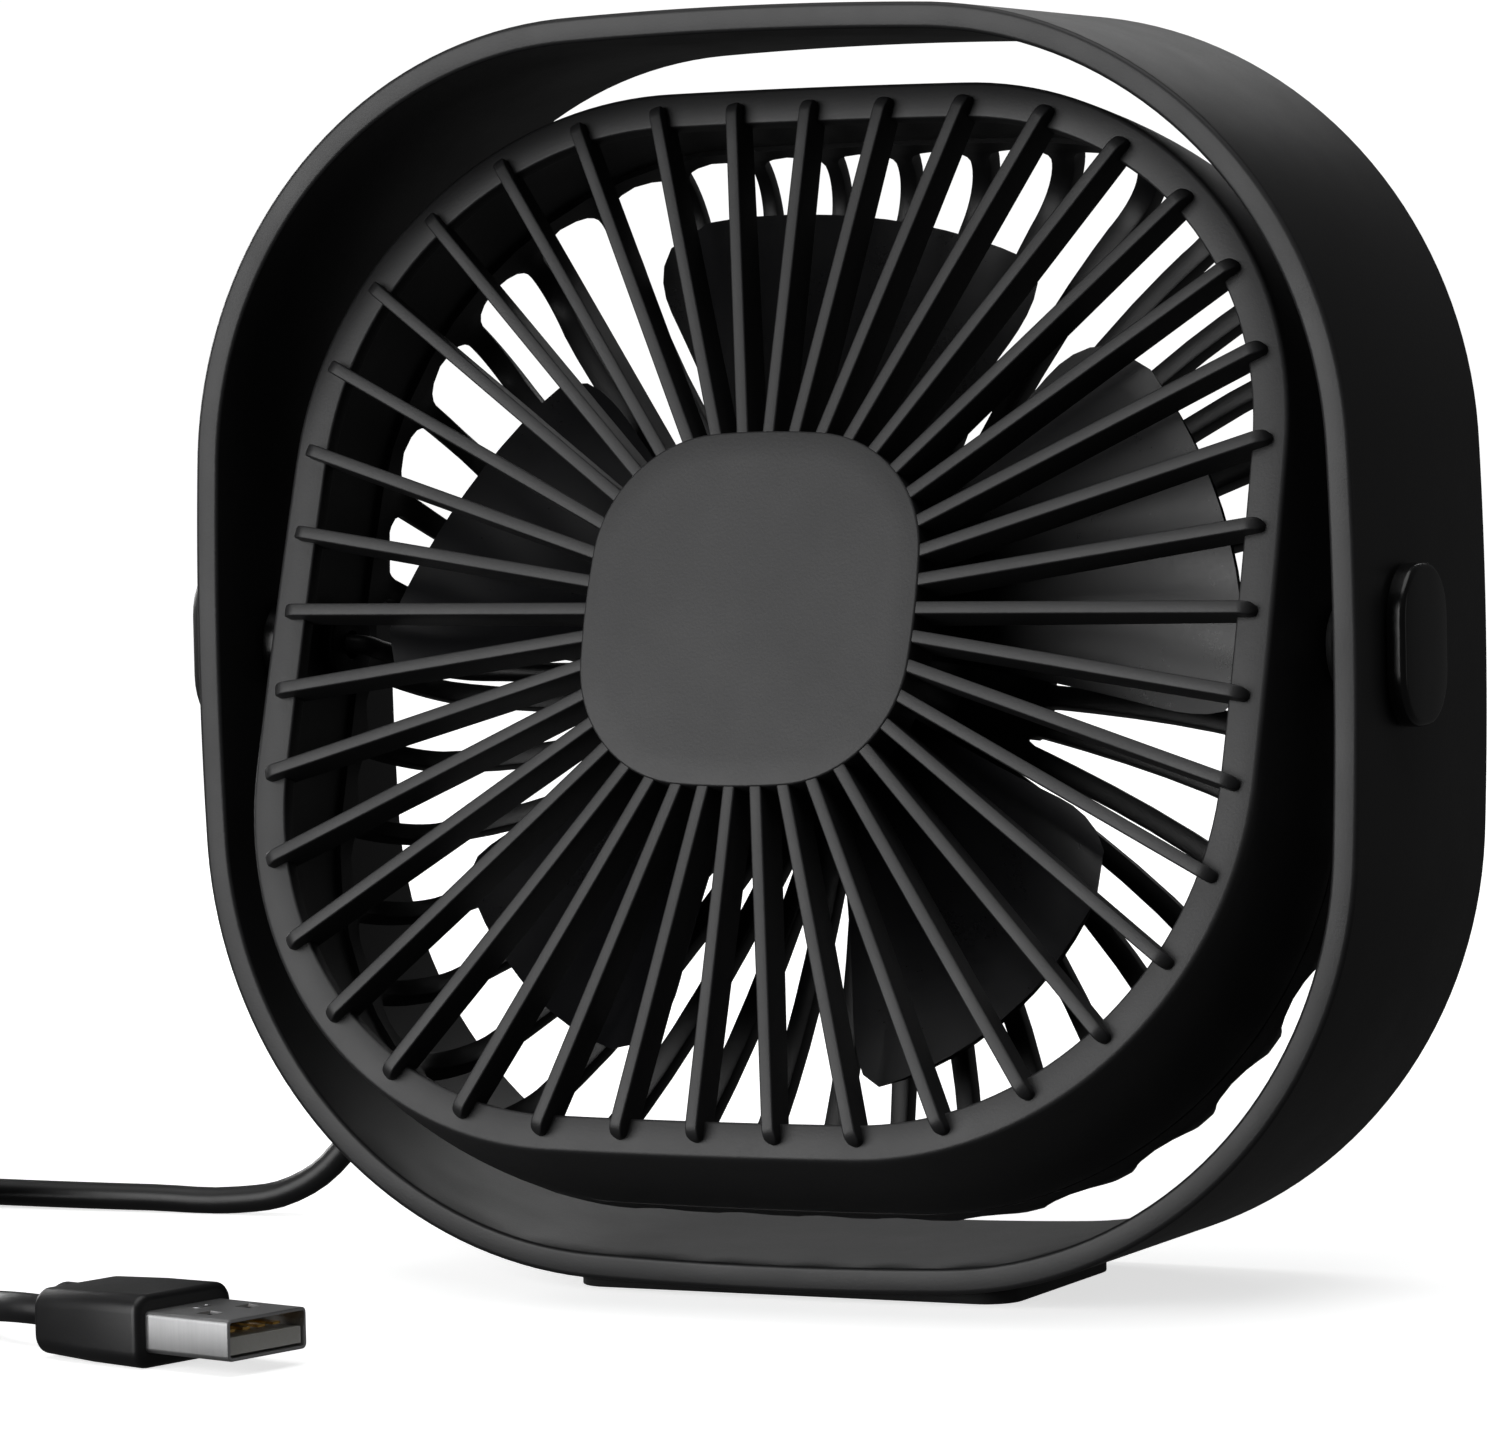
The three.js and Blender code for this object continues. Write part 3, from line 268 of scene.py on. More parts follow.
# Steel with a black oxide: dull, near black, a little grey on its turned faces.
BLACK_OXIDE = Finish(
    "blackened steel", "2c2c2e", "1d1d1f", 0.42, 0.0004, 0.000006, Surface.BRUSHED, 1.0
)
# Steel with bright zinc: mid grey with a faint blue, soft lines of reflection.
ZINC = Finish("zinc-plated steel", "a9acb0", "93979c", 0.34, 0.0004, 0.000004, Surface.BRUSHED, 1.0)
# Brass with a flash of gold: warm yellow, smooth, with bright points.
GOLD_FLASH = Finish(
    "gold-flashed brass", "e0b565", "cf9f4c", 0.22, 0.0003, 0.000002, Surface.POLISHED, 1.0
)
# Sintered bronze: dull red brown, with the tiny pores of pressed powder.
BRONZE = Finish("sintered bronze", "9a6d3c", "7d552c", 0.46, 0.0002, 0.00001, Surface.GRAINED, 1.0)
# Stacked sheet iron: dark grey, with the fine lines of its sheets.
SHEET_IRON = Finish(
    "stacked sheet iron", "6f7175", "55575b", 0.5, 0.0005, 0.00001, Surface.BRUSHED, 1.0
)
# Sintered ferrite: matt charcoal, a little chalky.
FERRITE = Finish("sintered ferrite", "39393c", "2b2b2e", 0.7, 0.0003, 0.00002)
# Moulded nylon without pigment: waxy off-white.
NYLON = Finish("natural nylon", "e2ddcf", "d6cfbd", 0.5, 0.0006, 0.000006)
# Glass-filled polymer: clean white, slightly dull.
WHITE_LCP = Finish("white contact carrier", "e9e8e2", "dddbd3", 0.45, 0.0005, 0.000005)
# Solder mask on a board: deep green with a wet shine.
SOLDER_MASK = Finish(
    "green solder mask", "1f6b3a", "174f2b", 0.3, 0.0008, 0.000006, Surface.POLISHED
)
# Moulded PBT: dark grey and dry, with an even fine grain.
SWITCH_PBT = Finish("black PBT", "262628", "1b1b1d", 0.55, 0.0004, 0.00001)


# ------------------------------------------------------------------ outlines and profiles


@dataclass(frozen=True)
class Outline:
    """A square with gently bowed sides and round corners, seen along the Y axis."""

    half: float
    corner: float
    bow: float

    def inset(self, distance: float) -> "Outline":
        """The parallel outline that much further in."""
        return Outline(self.half - distance, self.corner - distance, self.bow - distance)

    def radius(self, angle: float) -> float:
        """Distance from the middle to the outline at an angle from +X.

        Args:
            angle: in radians from +X.

        Returns:
            The distance in metres.
        """
        quarter = math.pi / 2
        folded = angle % quarter
        phi = min(folded, quarter - folded)
        side = self.half - self.bow
        reach = self.bow - self.corner
        k = (side + math.sqrt(2 * reach**2 - side**2)) / 2
        theta = math.atan2(k, k - side)
        join = math.atan2(self.bow * math.sin(theta), side + self.bow * math.cos(theta))
        if phi <= join:
            return side * math.cos(phi) + math.sqrt(self.bow**2 - (side * math.sin(phi)) ** 2)
        far = k * math.sqrt(2)
        psi = math.pi / 4 - phi
        return far * math.cos(psi) + math.sqrt(self.corner**2 - (far * math.sin(psi)) ** 2)

    def point(self, angle: float, depth: float) -> Vector:
        """The outline's point at an angle from +X, at a place along Y."""
        radius = self.radius(angle)
        return Vector((radius * math.cos(angle), depth, radius * math.sin(angle)))


def rounded(corners: Sequence[Corner], steps: int = 4) -> list[Pair]:
    """Rounds the corners of a closed outline.

    Args:
        corners: across, along and fillet radius of each corner, in order.
        steps: points along each fillet, less one.

    Returns:
        The outline's points.
    """
    points: list[Pair] = []
    for i, (across, along, fillet) in enumerate(corners):
        here = Vector((across, along))
        if fillet <= 0:
            points.append((across, along))
            continue
        back = (Vector(corners[i - 1][:2]) - here).normalized()
        ahead = (Vector(corners[(i + 1) % len(corners)][:2]) - here).normalized()
        half = back.angle(ahead) / 2
        centre = here + (back + ahead).normalized() * (fillet / math.sin(half))
        start = here + back * (fillet / math.tan(half)) - centre
        end = here + ahead * (fillet / math.tan(half)) - centre
        turn = math.atan2(start.x * end.y - start.y * end.x, start.dot(end))
        for k in range(steps + 1):
            spoke = Matrix.Rotation(turn * k / steps, 2) @ start
            points.append((centre.x + spoke.x, centre.y + spoke.y))
    return points


def rounded_rectangle(width: float, height: float, corner: float, steps: int = 8) -> list[Pair]:
    """A rectangle's outline about its middle, with round corners.

    Args:
        width: its size across.
        height: its size along.
        corner: fillet radius.
        steps: points along each fillet, less one.

    Returns:
        The outline's points.
    """
    across, along = width / 2, height / 2
    corners = [(across, along), (-across, along), (-across, -along), (across, -along)]
    return rounded([(x, y, corner) for x, y in corners], steps)


# ------------------------------------------------------------------ meshes


def new_piece(name: str, mesh: bpy.types.Mesh) -> bpy.types.Object:
    """Puts a mesh in the scene as a piece.

    Args:
        name: the piece's name.
        mesh: its mesh.

    Returns:
        The piece.
    """
    made = bpy.data.objects.new(name, mesh)
    bpy.context.scene.collection.objects.link(made)
    return made


def closed_mesh(
    name: str, points: Sequence[Vector], faces: Sequence[Sequence[int]]
) -> bpy.types.Object:
    """Makes a piece from points and faces, merged and with its faces pointing out.

    Args:
        name: the piece's name.
        points: its points.
        faces: the numbers of the points of each face.

    Returns:
        The piece.
    """
    mesh = bpy.data.meshes.new(name)
    mesh.from_pydata([tuple(p) for p in points], [], faces)
    work = bmesh.new()
    work.from_mesh(mesh)
    bmesh.ops.remove_doubles(work, verts=work.verts, dist=1e-6)
    bmesh.ops.dissolve_degenerate(work, edges=work.edges, dist=1e-7)
    bmesh.ops.recalc_face_normals(work, faces=work.faces)
    work.to_mesh(mesh)
    work.free()
    return new_piece(name, mesh)


def lofted(
    name: str, rings: Sequence[Sequence[Vector]], joined: bool = False, capped: bool = True
) -> bpy.types.Object:
    """Skins a row of rings that all have the same number of points.

    Args:
        name: the piece's name.
        rings: the rings, in order.
        joined: whether the last ring meets the first.
        capped: whether the two end rings are filled, where they aren't joined.

    Returns:
        The piece.
    """
    count = len(rings[0])
    points = [point for ring in rings for point in ring]
    faces: list[list[int]] = []
    for i in range(len(rings) if joined else len(rings) - 1):
        here, there = i * count, (i + 1) % len(rings) * count
        for j in range(count):
            after = (j + 1) % count
            faces.append([here + j, here + after, there + after, there + j])
    if capped and not joined:
        faces.append(list(range(count)))
        faces.append([len(points) - count + j for j in reversed(range(count))])
    return closed_mesh(name, points, faces)


def turned(name: str, profile: Sequence[Pair], segments: int = ROUND) -> bpy.types.Object:
    """Turns a closed profile of radius and depth about the Y axis.

    Args:
        name: the piece's name.
        profile: radius and depth of each corner.
        segments: steps round the axis.

    Returns:
        The piece.
    """
    rings = []
    for i in range(segments):
        angle = 2 * math.pi * i / segments
        rings.append([Vector((r * math.cos(angle), y, r * math.sin(angle))) for r, y in profile])
    return lofted(name, rings, joined=True)


def framed(
    name: str, outline: Callable[[float], Outline], profile: Sequence[Pair]
) -> bpy.types.Object:
    """Sweeps a closed profile of distance and depth round a family of outlines.

    Args:
        name: the piece's name.
        outline: gives the outline for a distance of the profile.
        profile: distance and depth of each corner.

    Returns:
        The piece.
    """
    rings = []
    for i in range(FINE):
        angle = 2 * math.pi * i / FINE
        rings.append([outline(across).point(angle, depth) for across, depth in profile])
    return lofted(name, rings, joined=True)


def cushion(name: str, size: Pair, corner: float, levels: Sequence[Pair]) -> bpy.types.Object:
    """A block with a rounded-rectangle plan, made of levels of height and inset, along +Y.

    Args:
        name: the piece's name.
        size: size of the plan.
        corner: radius of the plan's corners.
        levels: height of each level, and how far it is inset.

    Returns:
        The piece.
    """
    rings = []
    for height, inset in levels:
        plan = rounded_rectangle(size[0] - 2 * inset, size[1] - 2 * inset, corner - inset)
        rings.append([Vector((x, height, z)) for x, z in plan])
    return lofted(name, rings)


def edge_levels(low: float, high: float, fillet: float, foot: float = 0.0) -> list[Pair]:
    """Heights and insets of a block whose top edge, and maybe its bottom one, is filleted.

    Args:
        low: height of the bottom.
        high: height of the top.
        fillet: radius of the top's edge.
        foot: radius of the bottom's edge, or 0 for a sharp one.

    Returns:
        The levels, from the bottom up.
    """
    turns = [math.pi / 2 * k / 5 for k in range(6)]
    bottom = [(low + foot * (1 - math.sin(t)), foot * (1 - math.cos(t))) for t in reversed(turns)]
    top = [(high - fillet * (1 - math.sin(t)), fillet * (1 - math.cos(t))) for t in turns]
    return (bottom if foot else [(low, 0.0)]) + top


def cross_bore(radius: float, segments: int = ROUND) -> bpy.types.Object:
    """A long cutter along X.

    Args:
        radius: the bore's radius.
        segments: steps round it.

    Returns:
        The cutter.
    """
    corners = [(0, -THROUGH), (radius, -THROUGH), (radius, THROUGH), (0, THROUGH)]
    made = turned("bore", corners, segments)
    made.data.transform(along_x(1))
    return made


def settled(piece: bpy.types.Object) -> bpy.types.Object:
    """Turns a piece's modifiers into plain mesh and removes them.

    Args:
        piece: the piece with its modifiers.

    Returns:
        The same piece.
    """
    graph = bpy.context.evaluated_depsgraph_get()
    mesh = bpy.data.meshes.new_from_object(piece.evaluated_get(graph))
    piece.modifiers.clear()
    piece.data = mesh
    return piece


def cut(piece: bpy.types.Object, *cutters: bpy.types.Object) -> bpy.types.Object:
    """Cuts the cutters out of a piece and deletes them.

    Args:
        piece: the piece to cut.
        *cutters: what to cut out of it.

    Returns:
        The same piece.
    """
    for cutter in cutters:
        change = piece.modifiers.new("cut", "BOOLEAN")
        change.operation, change.solver, change.object = "DIFFERENCE", "EXACT", cutter
    settled(piece)
    for cutter in cutters:
        bpy.data.objects.remove(cutter)
    return piece


def bevelled(piece: bpy.types.Object, width: float, segments: int = 3) -> bpy.types.Object:
    """Rounds the sharp edges of a piece.

    Args:
        piece: the piece.
        width: width of the rounding.
        segments: steps across it.

    Returns:
        The same piece.
    """
    change = piece.modifiers.new("edge", "BEVEL")
    change.width, change.segments, change.limit_method = width, segments, "ANGLE"
    change.angle_limit = math.radians(40)
    return settled(piece)


def joined(name: str, *parts: bpy.types.Object) -> bpy.types.Object:
    """Makes one piece of several meshes.

    Args:
        name: the new piece's name.
        *parts: the pieces, which are deleted.

    Returns:
        The new piece.
    """
    work = bmesh.new()
    for part in parts:
        work.from_mesh(part.data)
        bpy.data.objects.remove(part)
    mesh = bpy.data.meshes.new(name)
    work.to_mesh(mesh)
    work.free()
    return new_piece(name, mesh)


def dress(
    piece: bpy.types.Object,
    finish: Finish,
    body: str,
    place: Matrix | None = None,
    nodes: Sequence[str] = (),
) -> bpy.types.Object:
    """Places a piece in its mesh, shades it, gives it its finish and lets it ride on its body.

    Args:
        piece: the finished piece, made in its own frame.
        finish: what it is made of.
        body: the frame's body that it moves with.
        place: from the piece's own frame to the fan's.
        nodes: the frame's nodes that it stands for.

    Returns:
        The piece.
    """
    mesh = piece.data
    if place is not None:
        mesh.transform(place)
    mesh.shade_smooth()
    mesh.set_sharp_from_angle(angle=math.radians(34))
    mesh.materials.clear()
    mesh.materials.append(finish.material())
    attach(piece, body)
    if nodes:
        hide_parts(*nodes)
    log.info("%s: %d faces, on %s", piece.name, len(mesh.polygons), body)
    return piece


# ------------------------------------------------------------------ geometry nodes


@dataclass
class CopiesRound:
    """Copies of a piece at equal angles round the Y axis, stretched to reach an outline.

    The copied piece is made on +X. Its points with a "stretch" of 1 move out with the outline,
    and those with 0 stay where they are.
    """

    count: int
    first: float = 0.0
    base: float = 0.0  # reach that the copied piece was made for

    def tree(self, guided: bool) -> bpy.types.NodeTree:
        """Builds the tree, with or without the guide outline.

        Args:
            guided: whether the copies stretch to a guide outline.

        Returns:
            The node tree.
        """
        tree = bpy.data.node_groups.new("copies round", "GeometryNodeTree")
        sockets = [
            ("Piece", "NodeSocketObject"),
            ("Guide", "NodeSocketObject"),
            ("Count", "NodeSocketInt"),
            ("First Angle", "NodeSocketFloat"),
            ("Base Reach", "NodeSocketFloat"),
            ("Finish", "NodeSocketMaterial"),
        ]
        for name, kind in sockets:
            tree.interface.new_socket(name, in_out="INPUT", socket_type=kind)
        tree.interface.new_socket("Geometry", in_out="OUTPUT", socket_type="NodeSocketGeometry")
        given = add_node(tree, "NodeGroupInput").outputs
        piece = add_node(tree, "GeometryNodeObjectInfo", inputs={"Object": given["Piece"]})
        points = add_node(tree, "GeometryNodePoints", inputs={"Count": given["Count"]})
        index = add_node(tree, "GeometryNodeInputIndex").outputs[0]
        pitch = add_node(
            tree, "ShaderNodeMath", {"operation": "DIVIDE"}, {0: math.tau, 1: given["Count"]}
        )
        angle = add_node(
            tree,
            "ShaderNodeMath",
            {"operation": "MULTIPLY_ADD"},
            {0: index, 1: pitch.outputs[0], 2: given["First Angle"]},
        ).outputs[0]
        placed = points.outputs[0]
        if guided:
            placed = self.measured(tree, given, placed, angle)
        turn = add_node(tree, "ShaderNodeMath", {"operation": "MULTIPLY"}, {0: angle, 1: -1.0})
        spin = add_node(tree, "ShaderNodeCombineXYZ", inputs={"Y": turn.outputs[0]})
        copies = add_node(
            tree,
            "GeometryNodeInstanceOnPoints",
            inputs={
                "Points": placed,
                "Instance": piece.outputs["Geometry"],
                "Rotation": spin.outputs[0],
            },
        )
        shape = add_node(
            tree, "GeometryNodeRealizeInstances", inputs={"Geometry": copies.outputs[0]}
        ).outputs[0]
        if guided:
            shape = self.stretched(tree, shape)
        dressed = add_node(
            tree, "GeometryNodeSetMaterial", inputs={"Geometry": shape, "Material": given["Finish"]}
        )
        add_node(tree, "NodeGroupOutput", inputs={0: dressed.outputs[0]})
        return tree

    def measured(
        self,
        tree: bpy.types.NodeTree,
        given: Any,
        points: bpy.types.NodeSocket,
        angle: bpy.types.NodeSocket,
    ) -> bpy.types.NodeSocket:
        """Stores, for each point, how far the guide lies past the base reach, as a vector.

        Args:
            tree: the node tree.
            given: the tree's inputs.
            points: the points that copies go on.
            angle: each point's angle.

        Returns:
            The points, with what is stored on them.
        """
        guide = add_node(tree, "GeometryNodeObjectInfo", inputs={"Object": given["Guide"]})
        across = add_node(tree, "ShaderNodeMath", {"operation": "COSINE"}, {0: angle})
        up = add_node(tree, "ShaderNodeMath", {"operation": "SINE"}, {0: angle})
        way = add_node(
            tree, "ShaderNodeCombineXYZ", inputs={"X": across.outputs[0], "Z": up.outputs[0]}
        ).outputs[0]
        ray = add_node(
            tree,
            "GeometryNodeRaycast",
            inputs={
                "Target Geometry": guide.outputs["Geometry"],
                "Source Position": (0.0, 0.0, 0.0),
                "Ray Direction": way,
                "Ray Length": 1.0,
            },
        )
        more = add_node(
            tree,
            "ShaderNodeMath",
            {"operation": "SUBTRACT"},
            {0: ray.outputs["Hit Distance"], 1: given["Base Reach"]},
        )
        step = add_node(
            tree,
            "ShaderNodeVectorMath",
            {"operation": "SCALE"},
            {0: way, "Scale": more.outputs[0]},
        )
        stored = add_node(
            tree,
            "GeometryNodeStoreNamedAttribute",
            {"data_type": "FLOAT_VECTOR", "domain": "POINT"},
            {"Geometry": points, "Name": "reach", "Value": step.outputs[0]},
        )
        return stored.outputs[0]

    def stretched(
        self, tree: bpy.types.NodeTree, shape: bpy.types.NodeSocket
    ) -> bpy.types.NodeSocket:
        """Moves each copy's outer points by the reach stored for it.

        Args:
            tree: the node tree.
            shape: the copies as one mesh.

        Returns:
            The stretched mesh.
        """
        named = "GeometryNodeInputNamedAttribute"
        reach = add_node(tree, named, {"data_type": "FLOAT_VECTOR"}, {"Name": "reach"})
        share = add_node(tree, named, {"data_type": "FLOAT"}, {"Name": "stretch"})
        move = add_node(
            tree,
            "ShaderNodeVectorMath",
            {"operation": "SCALE"},
            {0: reach.outputs["Attribute"], "Scale": share.outputs["Attribute"]},
        )
        moved = add_node(
            tree, "GeometryNodeSetPosition", inputs={"Geometry": shape, "Offset": move.outputs[0]}
        )
        return moved.outputs[0]

    def make(
        self,
        name: str,
        piece: bpy.types.Object,
        finish: Finish,
        guide: bpy.types.Object | None = None,
    ) -> bpy.types.Object:
        """Makes the copies as one plain mesh, and deletes the piece and the guide.

        Args:
            name: the new piece's name.
            piece: what is copied.
            finish: what it is made of.
            guide: the outline that the copies reach, if they stretch.

        Returns:
            The new piece.
        """
        made = new_piece(name, bpy.data.meshes.new(name))
        change = made.modifiers.new("copies", "NODES")
        change.node_group = self.tree(guide is not None)
        values = {
            "Piece": piece,
            "Guide": guide,
            "Count": self.count,
            "First Angle": self.first,
            "Base Reach": self.base,
            "Finish": finish.material(),
        }
        for item in change.node_group.interface.items_tree:
            if item.in_out == "INPUT":
                change[item.identifier] = values[item.name]
        settled(made)
        for helper in filter(None, (piece, guide)):
            bpy.data.objects.remove(helper)
        return made


# ------------------------------------------------------------------ lead and plug


@dataclass
class Lead:
    """The USB lead: down from the strain relief, through its storage coil and on to the plug."""

    diameter: float = 0.0034
    length: float = 1.5
    floor: float = 0.0018  # height of the middle of a lead that lies on the table
    coil_middle: Pair = (-0.153, 0.004)
    coil_radius: float = 0.0195
    turns: float = 10.5
    per_turn: int = 24
    first_shift: float = 10.0  # degrees after the start, where the first change of cell begins
    shift: float = 70.0  # degrees that a change of cell takes
    between_shifts: float = 330.0
    hidden: float = 0.001  # how far each end runs into the relief or the plug's neck
    straight_out: float = 0.0054
    straight_in: float = 0.0068
    # The cells of the coil that the turns fill one after another, as column from the inside
    # and row from the table.
    cells: tuple[tuple[int, int], ...] = (
        (2, 0), (1, 0), (0, 0), (0, 1), (1, 1), (1, 2), (0, 2),
        (0, 3), (1, 3), (2, 3), (2, 2), (2, 1), (2, 0),
    )  # fmt: skip

    def drop(self) -> list[Vector]:
        """From the strain relief's tip down to the table and over to the coil.

        Returns:
            The route's points.
        """
        place = relief_place()
        inside, outside = RELIEF_END - self.hidden, RELIEF_END + self.straight_out
        route = [
            (-0.0772, 0.027, 0.042),
            (-0.0776, 0.03, 0.033),
            (-0.0782, 0.0313, 0.024),
            (-0.08, 0.0316, 0.0155),
            (-0.0842, 0.031, 0.008),
            (-0.0906, 0.03, 0.0033),
            (-0.098, 0.0289, self.floor),
            (-0.11, 0.0278, self.floor),
            (-0.124, 0.0271, self.floor),
        ]
        start = [place @ Vector((0, along, 0)) for along in (inside, outside)]
        return start + [Vector(p) for p in route]

    def coil(self) -> list[Vector]:
        """The turns, each in its own cell of the coil, changing cells along a smooth step.

        Returns:
            The route's points.
        """
        points = []
        for i in range(round(self.turns * self.per_turn) + 1):
            angle = 360 * i / self.per_turn
            column, row = self.cells[0]
            for k, (after, before) in enumerate(zip(self.cells[1:], self.cells)):
                part = (angle - self.first_shift - self.between_shifts * k) / self.shift
                part = min(max(part, 0.0), 1.0)
                eased = part * part * (3 - 2 * part)
                column += (after[0] - before[0]) * eased
                row += (after[1] - before[1]) * eased
            radius = self.coil_radius + (column - 1) * self.diameter
            turn = math.radians(90 + angle)
            x, y = self.coil_middle
            x, y = x + radius * math.cos(turn), y + radius * math.sin(turn)
            points.append(Vector((x, y, self.floor + row * self.diameter)))
        return points

    def to_plug(self) -> list[Vector]:
        """From the coil along the table to the back of the plug's neck.

        Returns:
            The route's points.
        """
        route = [
            (-0.128, -0.0202, self.floor),
            (-0.1172, -0.025, self.floor),
            (-0.1082, -0.0334, self.floor),
            (-0.1, -0.0436, self.floor),
            (-0.0916, -0.0536, self.floor),
            (-0.083, -0.062, self.floor + 0.0003),
            (-0.0746, -0.068, self.floor + 0.0012),
        ]
        ends = (-UsbPlug.neck_end - self.straight_in, -UsbPlug.neck_end + self.hidden)
        return [*(Vector(p) for p in route), *(UsbPlug.place() @ Vector((0, y, 0)) for y in ends)]

    def build(self) -> bpy.types.Object:
        """Makes the lead as one curve of a single spline.

        Returns:
            The lead.
        """
        points = self.drop() + self.coil() + self.to_plug()
        curve = bpy.data.curves.new("usb_lead", "CURVE")
        curve.dimensions = "3D"
        curve.bevel_depth = self.diameter / 2
        curve.bevel_resolution = 5
        curve.resolution_u = 4
        curve.use_fill_caps = True
        spline = curve.splines.new("BEZIER")
        spline.bezier_points.add(len(points) - 1)
        for knot, point in zip(spline.bezier_points, points):
            knot.co = point
            knot.handle_left_type = knot.handle_right_type = "AUTO"
        made = bpy.data.objects.new("usb_lead", curve)
        bpy.context.scene.collection.objects.link(made)
        curve.materials.append(PVC.material())
        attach(made, "stand")
        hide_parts("lead_from_fan", "lead_coil", "lead_to_plug")
        return made


@dataclass
class CordClip:
    """Springy plastic clip that holds the coil's turns together."""

    wall: float = 0.001
    width: float = 0.007
    half_inside: float = 0.0058
    top: float = 0.0139
    angle: float = 150.0

    def build(self, lead: Lead) -> bpy.types.Object:
        """Makes the clip over the coil.

        Args:
            lead: the lead whose coil it holds.

        Returns:
            The dressed piece.
        """
        inside, outside = self.half_inside, self.half_inside + self.wall
        crown = self.top + self.wall
        profile = rounded(
            [
                (-outside, 0.0003, 0.0003),
                (-inside, 0.0003, 0.0003),
                (-inside, self.top, 0.0012),
                (inside, self.top, 0.0012),
                (inside, 0.0003, 0.0003),
                (outside, 0.0003, 0.0003),
                (outside, crown, 0.002),
                (-outside, crown, 0.002),
            ]
        )
        half = self.width / 2
        rings = [[Vector((x, y, z)) for y, z in profile] for x in (-half, half)]
        made = bevelled(lofted("coil_clip", rings), 0.0003, 2)
        turn = Matrix.Rotation(math.radians(self.angle - 90), 4, "Z")
        place = Matrix.Translation((*lead.coil_middle, 0)) @ turn
        place = place @ Matrix.Translation((0, lead.coil_radius, 0))
        return dress(made, HOOP_ABS, "stand", place, ["cord_clip"])


